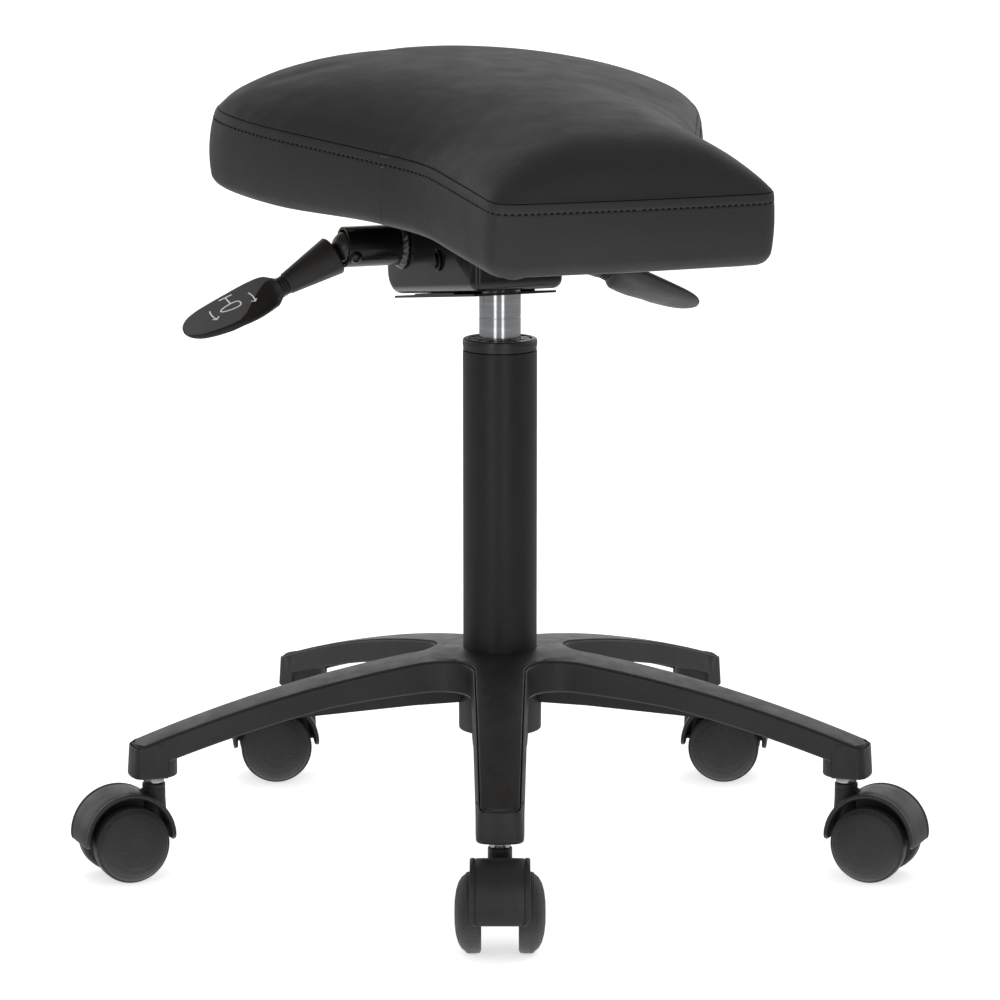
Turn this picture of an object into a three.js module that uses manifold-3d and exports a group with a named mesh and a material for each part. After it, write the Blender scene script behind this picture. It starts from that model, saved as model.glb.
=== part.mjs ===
// Saddle stool: a five-legged base on twin-wheel casters, a gas lift, a tilting seat mechanism
// with two levers, and a waisted upholstered seat.
// Millimetres, +Z up, floor at z = 0, the column's axis on the Z axis, one leg towards -Y.
import * as THREE from 'three';
import { mergeVertices, mergeGeometries } from 'three/addons/utils/BufferGeometryUtils.js';
import Module from 'manifold-3d';

const wasm = await Module();
wasm.setup();

const DEG = Math.PI / 180;
const HALF = 1 / 2;

// Shared fits
const GAP = 0.3;             // between neighbouring pieces
const OVERRUN = 5;           // how far a cutter passes the wall that it cuts
const MERGE = 0.0004;        // vertices closer than this are one

// Star base
const LEGS = 5;
const STEM_CIRCLE_R = 242.5;   // caster stems
const NOSE_REACH = 13;       // from the stem to the top edge of the leg's nose
const LEG_HALF_HUB = 16.7;   // half-width of the leg's top face beside the hub
const LEG_HALF_TIP = 12.4;   // and at the nose
const NOSE_HALF = 8.5;       // half-width of the flat facet on the nose
const NOSE_CHAMFER = 5.5;    // length of the nose's corner facets along the leg
const VALLEY_R = 26.5;       // plan fillet between two legs
const HUB_TOP_Z = 140;
const LEG_FALL = 0.057;      // slope of the leg's top at the hub
const LEG_DROP = 47.2;       // from the hub's top to the leg's top above the stem
const LEDGE_DROP = 1.4;      // top face's edge, above the ledge
const LEDGE_WIDTH = 1;
const LEDGE_FALL = 0.7;
const SKIRT_DRAFT = 1.6;     // how far the skirt leans out below the ledge
const SKIRT_DEPTH = 16.3;    // leg's depth along its outer part
const SKIRT_DEPTH_HUB = 22;
const SKIRT_STEADY_R = 125;  // outside this radius the depth stays the same
const SHEET = 3.2;           // moulding's wall
const FOOT_REACH = 6.5;      // from the stem to where the solid foot begins
const FOOT_STEP = 1.5;
const FOOT_ROWS = 3;         // rows of the leg's surface on the foot, from the nose
const LEG_ROWS = 3;          // rows between the foot and the valley
const VALLEY_ROWS = 4;       // rows round the valley's fillet
const ACROSS = 2;            // strips across the leg
const FOOT_BOTTOM_Z = 67.4;
const FOOT_BOSS_R = 14.8;     // foot's round inner end
const FOOT_BOSS_SHIFT = 1;     // its centre, inward of the stem
const RIB_HALF = 1.6;        // half-thickness of the ribs under the legs
const RIB_END_R = 160;
const RIB_BOTTOM_Z = 98.4;
const RIB_BOTTOM_HUB_Z = 101.8;
const CROSS_RIB_DEPTH = 7;
const HUB_R = 28;
const HUB_BOTTOM_Z = 82;

// Gas lift
const COLUMN_R = 25;
const COLUMN_WALL = 2;
const COLUMN_TOP_Z = 342.2;
const COLUMN_SEAT_R = 24.2;  // tapered seat, at the hub's bottom
const COLUMN_END_R = 19.6;
const COLUMN_END_Z = 69;
const COLUMN_SHOULDER = 4;
const COLUMN_FLOOR = 2.5;
const BUSH_CAP = 7.8;          // height of the bush's cap above the column
const BUSH_LENGTH = 62;
const BUSH_RIM_R = 3;         // cap's round outer edge
const BUSH_RIM_WIDTH = 3.7;  // from the outside to the groove
const BUSH_GROOVE = 0.9;
const TUBE_R = 14;           // pressure tube
const TUBE_BORE_R = 12;
const TUBE_BOTTOM_Z = 94;
const TUBE_TAPER_Z = 385;
const TUBE_TOP_R = 13.3;
const TUBE_TOP_Z = 413;
const TUBE_END_WALL = 9;
const ROD_R = 5;
const ROD_TOP_Z = 312;
const PISTON_LENGTH = 14;
const ROD_COLLAR_R = 9;
const ROD_COLLAR = 4;
const ROD_BOTTOM_Z = 63.5;
const BEARING_R = 12;
const BEARING_HEIGHT = 6;
const BEARING_GROOVE = 1.6;
const CLIP_R = 9;
const CLIP_THICK = 1.4;
const CLIP_MOUTH_HALF = 3;
const CLIP_GROOVE_R = 4;
const BUTTON_R = 4;
const BUTTON_TOP_Z = 419.6;
const BUTTON_BOTTOM_Z = 408;
const BUTTON_STROKE = 3;     // free depth under the button
const BUTTON_CHAMFER = 0.8;

// Casters
const CASTER_TRAIL = 21.5;     // wheel axle behind the stem
const WHEEL_R = 25.5;
const WHEEL_INNER_Y = 11.45;
const WHEEL_TREAD = 8.3;
const WHEEL_OUTER_Y = 28.6;
const WHEEL_BORE_DEPTH = 12;
const AXLE_R = 3;
const HOOD_R = 31;
const HOOD_INNER_R = 27.8;
const HOOD_RISE = 3;         // its centre above the wheels' axle
const HOOD_HALF = 19;
const HOOD_FRONT_ANGLE = -7 * DEG;
const HOOD_REAR_ANGLE = 184.6 * DEG;
const HOOD_WEB_HALF = 2.2;
const HOOD_WEB_LOW_ANGLE = -2 * DEG;
const HOOD_WEB_HIGH_ANGLE = 181 * DEG;
const HOOD_BOSS_R = 6.5;
const HOOD_STEPS = 10;       // facets along the hood's arc
const NECK_R = 7.7;
const NECK_FACETS = 10;
const NECK_TOP_Z = 62.3;
const NECK_BOTTOM_Z = 30;
const GUSSET_REACH = 5;
const STEM_R = 5.5;
const STEM_ROOF = 5.8;       // from the stem's top to the leg's top
const STEM_BOTTOM_Z = 42;
const STEM_COLLAR_R = 7;
// Each caster and the direction in which its wheels trail at rest, round from the front leg
const CASTERS = [
  { name: 'front', trail: -90 * DEG },
  { name: 'front_right', trail: -23 * DEG },
  { name: 'rear_right', trail: -6 * DEG },
  { name: 'rear_left', trail: 186 * DEG },
  { name: 'front_left', trail: 203 * DEG },
].map((place, i) => ({ ...place, leg: 2 * Math.PI * (i / LEGS - 1 / 4) }));

// Seat mechanism, in the head's frame: +X to the sitter's left, +Y to the rear of the seat
const HEAD_YAW = 22 * DEG;
const HOUSING_TILT = 7.3 * DEG;   // nose up
const PLATE_BOTTOM_Z = 379.2;     // reinforcing plate's underside on the column's axis
const PLATE_THICK = 1.6;
const PLATE_GAP = 1.4;
const PLATE_HALF = 29.5;
const PLATE_FRONT_Y = -27;
const PLATE_REAR_Y = 122;
const PLATE_PAD_FRONT_Y = 10;
const PLATE_PAD_REAR_Y = 83;
const PAN_WALL = 2.5;
const PAN_HALF = 32.7;
const PAN_FRONT_Y = -34;
const PAN_REAR_Y = 132;
const PAN_TOP_Z = 427;
const PAN_REAR_CORNER = 16;
const PAN_FRONT_CORNER = 6.8;
const PAN_EDGE_R = 6;
const PAN_STEPS = 3;              // facets round the pan's corners
const SOCKET_R = 18;
const SOCKET_TOP_Z = 411;
const PIVOT_Y = 30.5;
const PIVOT_Z = 400.5;
const AXLE_ROD_R = 5;
const AXLE_ROD_REACH = 3.6;       // beyond the housing's wall
const SNAP_RING_R = 7.5;
const SNAP_RING_THICK = 1.5;
const LEVER_Y = 98.7;
const LEVER_Z = 403.8;
const LEVER_TUBE_R = 14;
const LEVER_TUBE_BORE_R = 12;
const LEVER_TUBE_END = 76.2;
const WELD_R = 2.6;
const LEVER_PIN_X = 71;
const LEVER_PIN_R = 2.5;
const LEVER_PIN_HEAD_R = 4;
const LEVER_PIN_HEAD = 2.2;
const ARM_BALL_R = 10.8;
const ARM_BALL_X = 73;
const ARM_R = 4;
const ARM_INNER_X = 8;
const HANDLE_DROP = 28 * DEG;     // cone's axis below the horizontal
const HANDLE_START = 11.2;           // from the ball's centre to the cone, along the cone's axis
const CONE_LENGTH = 39;
const CONE_R = 10.5;
const CONE_END_R = 6.8;
const CONE_EDGE = 1;
const HANDLE_BORE = 22;
const HANDLE_FACETS = 12;
const NECK_PITCH = 3;
const NECK_RINGS = 3;
const NECK_RING_R = 6.6;
const NECK_GROOVE_R = 5.6;
const BLADE_DROP = 21.7 * DEG;
const BLADE_ROLL = 25 * DEG;
const BLADE_LENGTH = 70;
const BLADE_HALF_WIDTH = 16;
const BLADE_HALF_THICK = 4.5;
// Along the blade: place, half-width and half-thickness as shares of its length and sizes
const BLADE_shares = [
  [0.02, 0.6, 1], [0.08, 0.87, 0.97], [0.22, 0.98, 0.88], [0.38, 1, 0.78], [0.55, 1, 0.68],
  [0.7, 0.97, 0.6], [0.83, 0.86, 0.53], [0.92, 0.67, 0.46], [0.98, 0.38, 0.36], [1, 0.13, 0.16],
];
const ROCKER_PIVOT_Y = -19;
const ROCKER_PIVOT_Z = 421.6;
const ROCKER_PIVOT_R = 2.4;
const ROCKER_BOTTOM_Z = 420;
const ROCKER_THICK = 3;
const ROCKER_LEFT_X = -5;
const ROCKER_RIGHT_X = 16;
const ROCKER_STEP_Y = 40;
const ROCKER_STEP_RUN = 18;
const ROCKER_REAR_Y = 106;
const CLAMP_X = -15;
const CLAMP_Y = 73;
const CLAMP_BOLT_R = 4;
const CLAMP_HEAD_R = 6.5;
const CLAMP_HEAD = 2.5;
const CLAMP_EAR = 2;
const CLAMP_BOSS_R = 8.5;
const CLAMP_FOOT_HALF = 14;
const CAM_THICK = 4;
const CAM_R = 8;
const CAM_TAB_HALF = 2.5;
const LOCK_THICK = 3;
const LOCK_INNER_R = 34;
const LOCK_OUTER_R = 56;
const LOCK_MARGIN = 6 * DEG;      // material beyond the slot's lower end
const LOCK_SLOT_STEPS = 5;

// Seat, in its own frame: origin on the upper seam's plane over the column, +Z square to it
const SEAT_TILT = 6.3 * DEG;      // nose down
const SEAT_SEAM_Z = 491.9;
const SEAT_TILT_DOWN = 4 * DEG;   // the hinge's travel from rest, nose down and nose up
const SEAT_TILT_UP = 14 * DEG;
const SEAT_DEPTH = 47.4;          // upper seam to underside
const NOSE_V = 232;               // nose edge, forward of the column
const NOSE_W = 95.8;              // half-widths
const NOSE_CORNER = 15;
const NOSE_BOW = 2;
const WAIST_V = 104.5;
const WAIST_W = 94.3;
const WAIST_R = 25;
const WING_V = -50.5;
const WING_W = 168.5;
const WING_R = 50;
const REAR_V = -157;
const REAR_FULLNESS = 0.6;        // 0 is a slack rear curve, 1 a square one
const BULGE_NOSE = 2;             // how far the boxing swells beyond the seam
const BULGE_REAR = 5.1;
const CROWN = 38.6;               // rise of the top above the seam's plane
const CROWN_NOSE = 32;
const SPINE_FRONT_V = 162;
const SPINE_REAR_V = -76;
// Up the boxing: height as a share of the seat's depth, and the share of the bulge there
const BOXING_shares = [[0.07, 0.35], [0.28, 0.85], [0.52, 1], [0.76, 0.75], [0.93, 0.25], [1, 0]];
const BOARD_THICK = 12;
const BOARD_INSET = 7;
const BOTTOM_LIP = 4;
const OUTLINE_STEPS = 32;         // along half the outline
const SEAT_PLATE_THICK = 2.5;
const SEAT_PLATE_HALF_X = 80;
const SEAT_PLATE_FRONT_Y = -48;
const SEAT_PLATE_REAR_Y = 112;
const SEAT_PLATE_CORNER = 14;
const SEAT_PLATE_STEPS = 3;
const SEAT_BOLT_X = 65;
const SEAT_BOLT_INSET = 14;
const SEAT_BOLT_R = 3;
const SEAT_BOLT_HEAD_R = 6;
const SEAT_BOLT_HEAD = 3.6;
const SEAT_BOLT_REACH = 9;        // into the board
const EAR_THICK = 2.5;
const EAR_GAP = 0.5;              // to the housing's wall
const EAR_BOSS_R = 10;
const EAR_FRONT = 30;             // ear's root, forward and rearward of the pivot
const EAR_REAR = 42;

// Facets round a full turn
const ROUND_LARGE = 24;
const ROUND = 18;
const ROUND_SMALL = 12;
const ROUND_TINY = 8;

// Finishes
function finish(color, roughness, metalness) {
  return new THREE.MeshStandardMaterial({ color, roughness, metalness });
}
const NYLON = finish('#2b2b2c', 0.62, 0);
const PAINT = finish('#1d1d1e', 0.45, 0.2);
const GLOSS = finish('#111112', 0.2, 0.2);
const STEEL = finish('#c9cacc', 0.22, 1);
const VINYL = finish('#2d2d2e', 0.5, 0);
const WOOD = finish('#3a3430', 0.8, 0);

// Closed body from any geometry: positions only, shared vertices merged, no slivers, faces out.
function closed(geometry) {
  const bare = geometry.index ? geometry.toNonIndexed() : geometry.clone();
  for (const name of Object.keys(bare.attributes)) {
    if (name !== 'position') bare.deleteAttribute(name);
  }
  const merged = mergeVertices(bare, MERGE);
  const index = merged.index.array;
  const kept = [];
  for (let i = 0; i < index.length; i += 3) {
    const [a, b, c] = [index[i], index[i + 1], index[i + 2]];
    if (a !== b && b !== c && c !== a) kept.push(a, b, c);
  }
  if (volumeOf(merged, kept) < 0) kept.reverse();
  merged.setIndex(kept);
  return merged;
}

function volumeOf(geometry, index) {
  const [a, b, c] = [new THREE.Vector3(), new THREE.Vector3(), new THREE.Vector3()];
  const position = geometry.attributes.position;
  let sum = 0;
  for (let i = 0; i < index.length; i += 3) {
    a.fromBufferAttribute(position, index[i]);
    b.fromBufferAttribute(position, index[i + 1]);
    c.fromBufferAttribute(position, index[i + 2]);
    sum += a.dot(b.cross(c));
  }
  return sum;
}

function solid(geometry) {
  const body = closed(geometry);
  return new wasm.Manifold(new wasm.Mesh({
    numProp: 3,
    vertProperties: new Float32Array(body.attributes.position.array),
    triVerts: new Uint32Array(body.index.array),
  }));
}

// Joins the first geometries and cuts the others out of them.
function carve(joined, cut = []) {
  let body = solid(joined[0]);
  for (const piece of joined.slice(1)) body = body.add(solid(piece));
  for (const piece of cut) body = body.subtract(solid(piece));
  return geometryOf(body);
}

function geometryOf(body) {
  const mesh = body.getMesh();
  const geometry = new THREE.BufferGeometry();
  geometry.setAttribute('position', new THREE.BufferAttribute(new Float32Array(mesh.vertProperties), 3));
  geometry.setIndex(new THREE.BufferAttribute(new Uint32Array(mesh.triVerts), 1));
  return geometry;
}

function named(name, geometry, material) {
  const body = closed(geometry);
  body.computeVertexNormals();
  const mesh = new THREE.Mesh(body, material);
  mesh.name = name;
  return mesh;
}

// A profile of [radius, place] points turned about the Z, X or Y axis.
function turned(profile, facets, axis = 'z') {
  const points = profile.map(([radius, place]) => new THREE.Vector2(radius, place));
  const geometry = new THREE.LatheGeometry(points, facets);
  if (axis === 'z') geometry.rotateX(Math.PI / 2);
  if (axis === 'x') geometry.rotateZ(-Math.PI / 2);
  return geometry;
}

function disc(radius, from, to, facets, axis = 'z') {
  return turned([[0, from], [radius, from], [radius, to], [0, to]], facets, axis);
}

function ring(radius, bore, from, to, facets, axis = 'z') {
  return turned([[bore, from], [radius, from], [radius, to], [bore, to], [bore, from]], facets, axis);
}

const polygon = (points) => new THREE.Shape(points.map(([x, y]) => new THREE.Vector2(x, y)));

// A shape drawn in (y, z) and pulled along X, or drawn in (x, z) and pulled along Y.
function pulledX(shape, from, to, curveSegments = ROUND_TINY) {
  const [y, z, x] = [new THREE.Vector3(0, 1, 0), new THREE.Vector3(0, 0, 1), new THREE.Vector3(1, 0, 0)];
  const turn = new THREE.Matrix4().makeBasis(y, z, x);
  return pulled(shape, to - from, curveSegments).applyMatrix4(turn).translate(from, 0, 0);
}

function pulledY(shape, from, to, curveSegments = ROUND_TINY) {
  return pulled(shape, to - from, curveSegments).rotateX(Math.PI / 2).translate(0, to, 0);
}

function pulledZ(shape, from, to, curveSegments = ROUND_TINY) {
  return pulled(shape, to - from, curveSegments).translate(0, 0, from);
}

function pulled(shape, depth, curveSegments) {
  return new THREE.ExtrudeGeometry(shape, { depth, bevelEnabled: false, curveSegments });
}

function block(x0, x1, y0, y1, z0, z1) {
  const geometry = new THREE.BoxGeometry(x1 - x0, y1 - y0, z1 - z0);
  return geometry.translate((x0 + x1) * HALF, (y0 + y1) * HALF, (z0 + z1) * HALF);
}

// Skins rings of equal length, and closes the ends with a fan where they don't meet a point.
function skinned(rings) {
  const corners = [];
  const quad = (a, b, c, d) => corners.push(a, b, c, a, c, d);
  for (let i = 0; i + 1 < rings.length; i++) {
    const count = rings[i].length;
    for (let j = 0; j < count; j++) {
      const next = (j + 1) % count;
      quad(rings[i][j], rings[i][next], rings[i + 1][next], rings[i + 1][j]);
    }
  }
  return fromCorners(corners);
}

function fromCorners(corners) {
  return new THREE.BufferGeometry().setFromPoints(corners);
}

const mix = THREE.MathUtils.lerp;
const share = (value, from, to) => THREE.MathUtils.clamp((value - from) / (to - from), 0, 1);

// Star base
const legTipR = STEM_CIRCLE_R + NOSE_REACH;
const footR = STEM_CIRCLE_R - FOOT_REACH;
const legTopZ = (r) => {
  const out = r / STEM_CIRCLE_R;
  return HUB_TOP_Z - LEG_FALL * r - (LEG_DROP - LEG_FALL * STEM_CIRCLE_R) * out * out;
};
const stemTopZ = legTopZ(STEM_CIRCLE_R) - STEM_ROOF;

// Rows across one leg that points along +X, from its nose to the bore. Each row has its place on
// the centre line, the end of the row on the leg's left edge and how deep the skirt is there.
function legRows(flare) {
  const valleyHalf = LEG_HALF_HUB + VALLEY_R;
  const valleyX = valleyHalf / Math.tan(Math.PI / LEGS);
  const tip = legTipR + flare;
  const half = (x) => mix(LEG_HALF_HUB, LEG_HALF_TIP, share(x, valleyX, legTipR)) + flare;
  const rows = [];
  const straight = (x, edge = half(x)) => rows.push({ middle: x, edge: new THREE.Vector2(x, edge) });
  straight(tip, NOSE_HALF + flare);
  straight(tip - NOSE_CHAMFER);
  straight(footR);
  straight(footR - FOOT_STEP);
  for (let i = 1; i < LEG_ROWS; i++) straight(mix(footR - FOOT_STEP, valleyX, i / LEG_ROWS));
  const turn = Math.PI * HALF - Math.PI / LEGS;
  const apex = valleyHalf / Math.sin(Math.PI / LEGS) - (VALLEY_R - flare);
  for (let i = 0; i <= VALLEY_ROWS; i++) {
    const angle = Math.PI * 3 * HALF - turn * i / VALLEY_ROWS;
    const x = valleyX + (VALLEY_R - flare) * Math.cos(angle);
    const y = valleyHalf + (VALLEY_R - flare) * Math.sin(angle);
    rows.push({ middle: mix(valleyX, apex, i / VALLEY_ROWS), edge: new THREE.Vector2(x, y) });
  }
  const skirted = rows.length;
  for (const radius of [mix(apex, COLUMN_R, HALF), COLUMN_R + GAP]) {
    const edge = new THREE.Vector2(radius, 0).rotateAround(new THREE.Vector2(), Math.PI / LEGS);
    rows.push({ middle: radius, edge });
  }
  return { rows, skirted };
}

// A point across a row: side runs from -1 to 1, along an arc about the column's axis near the hub.
function acrossRow(row, side, z) {
  const straight = Math.abs(row.edge.x - row.middle) < MERGE;
  if (straight) return new THREE.Vector3(row.middle, row.edge.y * side, z);
  const radius = mix(row.middle, row.edge.length(), side * side);
  const angle = row.edge.angle() * side;
  return new THREE.Vector3(radius * Math.cos(angle), radius * Math.sin(angle), z);
}

// The star's moulded shell: top face, ledge, drafted skirts, and the hollow underneath. Each level
// is one line round the section of a leg, from the top face's edge to the hollow's ceiling.
function starShell() {
  const skirtFlare = LEDGE_WIDTH + SKIRT_DRAFT;
  const levels = [0, 0, LEDGE_WIDTH, skirtFlare, skirtFlare - SHEET, -SHEET].map(legRows);
  const { skirted, rows } = levels[0];
  const hubSide = rows[skirted - 1].middle;
  const levelZ = (row, level) => {
    const r = rows[row].middle;
    const top = legTopZ(r);
    const depth = mix(SKIRT_DEPTH_HUB, SKIRT_DEPTH, share(r, hubSide, SKIRT_STEADY_R));
    const low = row < FOOT_ROWS ? FOOT_BOTTOM_Z : top - depth;
    const inner = row < FOOT_ROWS ? FOOT_BOTTOM_Z : top - SHEET;
    return [top, top - LEDGE_DROP, top - LEDGE_DROP - LEDGE_FALL, low, low, inner][level];
  };
  const point = (row, level, side) => acrossRow(levels[level].rows[row], side, levelZ(row, level));
  const corners = [];
  const quad = (a, b, c, d) => corners.push(a, b, c, a, c, d);
  const last = rows.length - 1;
  const inside = levels.length - 1;
  const sides = Array.from({ length: ACROSS }, (_, j) => [2 * j / ACROSS - 1, 2 * (j + 1) / ACROSS - 1]);
  for (let i = 0; i < last; i++) {
    const next = i + 1;
    for (const [s, t] of sides) {
      quad(point(i, 0, s), point(i, 0, t), point(next, 0, t), point(next, 0, s));
      quad(point(i, inside, t), point(i, inside, s), point(next, inside, s), point(next, inside, t));
    }
    if (next >= skirted) continue;
    for (let level = 0; level < inside; level++) {
      const lower = level + 1;
      quad(point(i, level, 1), point(i, lower, 1), point(next, lower, 1), point(next, level, 1));
      quad(point(next, level, -1), point(next, lower, -1), point(i, lower, -1), point(i, level, -1));
    }
  }
  for (const [s, t] of sides) {
    for (let level = 0; level < inside; level++) {
      quad(point(0, level, s), point(0, level + 1, s), point(0, level + 1, t), point(0, level, t));
    }
    quad(point(last, 0, s), point(last, 0, t), point(last, inside, t), point(last, inside, s));
  }
  const leg = fromCorners(corners);
  return mergeGeometries(CASTERS.map((caster) => leg.clone().rotateZ(caster.leg)));
}

// The rib along the middle of a leg's hollow, and the cross rib that ends it between the skirts.
function legRibs() {
  const buried = SHEET * HALF;
  const reach = HUB_R - OVERRUN;
  const stations = [reach, mix(reach, RIB_END_R, HALF), RIB_END_R];
  const top = stations.map((r) => [r, legTopZ(r) - buried]).reverse();
  const knee = mix(HUB_R, RIB_END_R, 1 / 4);
  const low = [[reach, RIB_BOTTOM_HUB_Z], [knee, RIB_BOTTOM_HUB_Z], [RIB_END_R, RIB_BOTTOM_Z]];
  const spine = polygon([...low, ...top]);
  const pieces = [pulledY(spine, -RIB_HALF, RIB_HALF)];
  const half = LEG_HALF_TIP - SHEET * HALF;
  const z = legTopZ(RIB_END_R) - buried;
  pieces.push(block(RIB_END_R - RIB_HALF, RIB_END_R + RIB_HALF, -half, half, z - CROSS_RIB_DEPTH, z));
  return pieces;
}

function starBase() {
  const hubTop = legTopZ(HUB_R) - SHEET * HALF;
  const joined = [starShell(), disc(HUB_R, HUB_BOTTOM_Z, hubTop, ROUND_LARGE)];
  const cut = [];
  for (const { leg } of CASTERS) {
    for (const rib of legRibs()) joined.push(rib.rotateZ(leg));
    const bossTop = legTopZ(STEM_CIRCLE_R) - SHEET * HALF;
    const boss = disc(FOOT_BOSS_R, FOOT_BOTTOM_Z, bossTop, ROUND_SMALL);
    const socket = disc(STEM_R + GAP, FOOT_BOTTOM_Z - OVERRUN, stemTopZ + GAP, ROUND_SMALL);
    joined.push(boss.translate(STEM_CIRCLE_R - FOOT_BOSS_SHIFT, 0, 0).rotateZ(leg));
    cut.push(socket.translate(STEM_CIRCLE_R, 0, 0).rotateZ(leg));
  }
  const [narrow, wide] = [COLUMN_SEAT_R + GAP, COLUMN_R + GAP];
  const [below, above] = [HUB_BOTTOM_Z - OVERRUN, HUB_TOP_Z + OVERRUN];
  cut.push(turned([
    [0, below], [narrow, below], [narrow, HUB_BOTTOM_Z], [wide, legTopZ(COLUMN_R)], [wide, above],
    [0, above],
  ], ROUND_LARGE));
  return named('star_base', carve(joined, cut), NYLON);
}

// Gas lift
function gasLift() {
  const lift = new THREE.Group();
  lift.add(columnTube(), guideBush(), thrustBearing(), pistonRod(), retainingClip());
  lift.add(pressureTube(), gasLiftButton());
  return lift;
}

const columnFloorZ = COLUMN_END_Z + COLUMN_FLOOR;
const columnBore = COLUMN_R - COLUMN_WALL;

function columnTube() {
  const hole = ROD_R + GAP;
  const shoulderZ = COLUMN_END_Z + COLUMN_SHOULDER;
  const seatTopZ = legTopZ(COLUMN_R);
  return named('column_tube', turned([
    [hole, COLUMN_END_Z], [COLUMN_END_R, COLUMN_END_Z], [COLUMN_SEAT_R, shoulderZ],
    [COLUMN_SEAT_R, HUB_BOTTOM_Z], [COLUMN_R, seatTopZ], [COLUMN_R, COLUMN_TOP_Z],
    [columnBore, COLUMN_TOP_Z], [columnBore, seatTopZ], [COLUMN_END_R - COLUMN_WALL, columnFloorZ],
    [hole, columnFloorZ], [hole, COLUMN_END_Z],
  ], ROUND_LARGE), PAINT);
}

function guideBush() {
  const low = COLUMN_TOP_Z - BUSH_LENGTH;
  const lip = COLUMN_TOP_Z + GAP;
  const top = lip + BUSH_CAP;
  const mouth = TUBE_R + GAP;
  const sleeve = columnBore - GAP;
  const eased = BUSH_RIM_R * (1 - Math.SQRT1_2);
  const groove = COLUMN_R - BUSH_RIM_WIDTH;
  return named('guide_bush', turned([
    [mouth, low], [sleeve, low], [sleeve, lip], [COLUMN_R, lip], [COLUMN_R, top - BUSH_RIM_R],
    [COLUMN_R - eased, top - eased], [COLUMN_R - BUSH_RIM_R, top], [groove, top],
    [groove, top - BUSH_GROOVE], [groove - BUSH_GROOVE, top - BUSH_GROOVE],
    [groove - BUSH_GROOVE, top - BUSH_GROOVE * HALF], [mouth, top - BUSH_GROOVE * HALF], [mouth, low],
  ], ROUND_LARGE), NYLON);
}

const bearingZ = columnFloorZ + GAP;
const bearingTopZ = bearingZ + BEARING_HEIGHT;

function thrustBearing() {
  const bore = ROD_R + GAP;
  const waist = BEARING_R - BEARING_GROOVE;
  return named('thrust_bearing', turned([
    [bore, bearingZ], [BEARING_R, bearingZ], [BEARING_R, bearingZ + BEARING_GROOVE],
    [waist, mix(bearingZ, bearingTopZ, HALF)], [BEARING_R, bearingTopZ - BEARING_GROOVE],
    [BEARING_R, bearingTopZ], [bore, bearingTopZ], [bore, bearingZ],
  ], ROUND_SMALL), STEEL);
}

const clipTopZ = COLUMN_END_Z - GAP;
const clipBottomZ = clipTopZ - CLIP_THICK;

function pistonRod() {
  const collarZ = bearingTopZ + GAP;
  const collarTopZ = collarZ + ROD_COLLAR;
  const pistonZ = ROD_TOP_Z - PISTON_LENGTH;
  const piston = TUBE_BORE_R - GAP;
  const [low, high] = [clipBottomZ - GAP, clipTopZ + GAP * HALF];
  return named('piston_rod', turned([
    [0, ROD_BOTTOM_Z], [ROD_R, ROD_BOTTOM_Z], [ROD_R, low], [CLIP_GROOVE_R, low], [CLIP_GROOVE_R, high],
    [ROD_R, high], [ROD_R, collarZ], [ROD_COLLAR_R, collarZ], [ROD_COLLAR_R, collarTopZ],
    [ROD_R, collarTopZ], [ROD_R, pistonZ], [piston, pistonZ], [piston, ROD_TOP_Z], [0, ROD_TOP_Z],
  ], ROUND_SMALL), STEEL);
}

function retainingClip() {
  const clip = ring(CLIP_R, CLIP_GROOVE_R + GAP, clipBottomZ, clipTopZ, ROUND_SMALL);
  const [below, above] = [clipBottomZ - OVERRUN, clipTopZ + OVERRUN];
  const mouth = block(-CLIP_MOUTH_HALF, CLIP_MOUTH_HALF, 0, CLIP_R + OVERRUN, below, above);
  return named('retaining_clip', carve([clip], [mouth]), STEEL);
}

function pressureTube() {
  const hole = ROD_R + GAP;
  const well = BUTTON_R + GAP;
  const wellZ = BUTTON_BOTTOM_Z - BUTTON_STROKE;
  const ceilingZ = wellZ - TUBE_END_WALL;
  const innerZ = TUBE_BOTTOM_Z + TUBE_END_WALL;
  return named('pressure_tube', turned([
    [hole, TUBE_BOTTOM_Z], [TUBE_R, TUBE_BOTTOM_Z], [TUBE_R, TUBE_TAPER_Z], [TUBE_TOP_R, TUBE_TOP_Z],
    [well, TUBE_TOP_Z], [well, wellZ], [0, wellZ],
    [0, ceilingZ], [TUBE_BORE_R, ceilingZ], [TUBE_BORE_R, innerZ], [hole, innerZ], [hole, TUBE_BOTTOM_Z],
  ], ROUND_LARGE), STEEL);
}

function gasLiftButton() {
  return named('gas_lift_button', turned([
    [0, BUTTON_BOTTOM_Z], [BUTTON_R, BUTTON_BOTTOM_Z], [BUTTON_R, BUTTON_TOP_Z - BUTTON_CHAMFER],
    [BUTTON_R - BUTTON_CHAMFER, BUTTON_TOP_Z], [0, BUTTON_TOP_Z],
  ], ROUND_TINY), STEEL);
}

// Casters
// In a caster's own frame the stem stands on the Z axis and the wheels trail along +X.
const onAxle = (geometry) => geometry.translate(CASTER_TRAIL, 0, WHEEL_R);

function casterWheel() {
  const outer = WHEEL_OUTER_Y - WHEEL_INNER_Y;
  const crown = outer - WHEEL_TREAD;
  const bore = AXLE_R + GAP;
  const swell = [1 / 3, 2 / 3].map((s) => s * Math.PI * HALF);
  const arc = swell.map((a) => [WHEEL_R * Math.cos(a), WHEEL_TREAD + crown * Math.sin(a)]);
  return turned([
    [0, WHEEL_BORE_DEPTH], [bore, WHEEL_BORE_DEPTH], [bore, 0], [WHEEL_R, 0], [WHEEL_R, WHEEL_TREAD],
    ...arc, [0, outer],
  ], ROUND, 'y');
}

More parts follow.
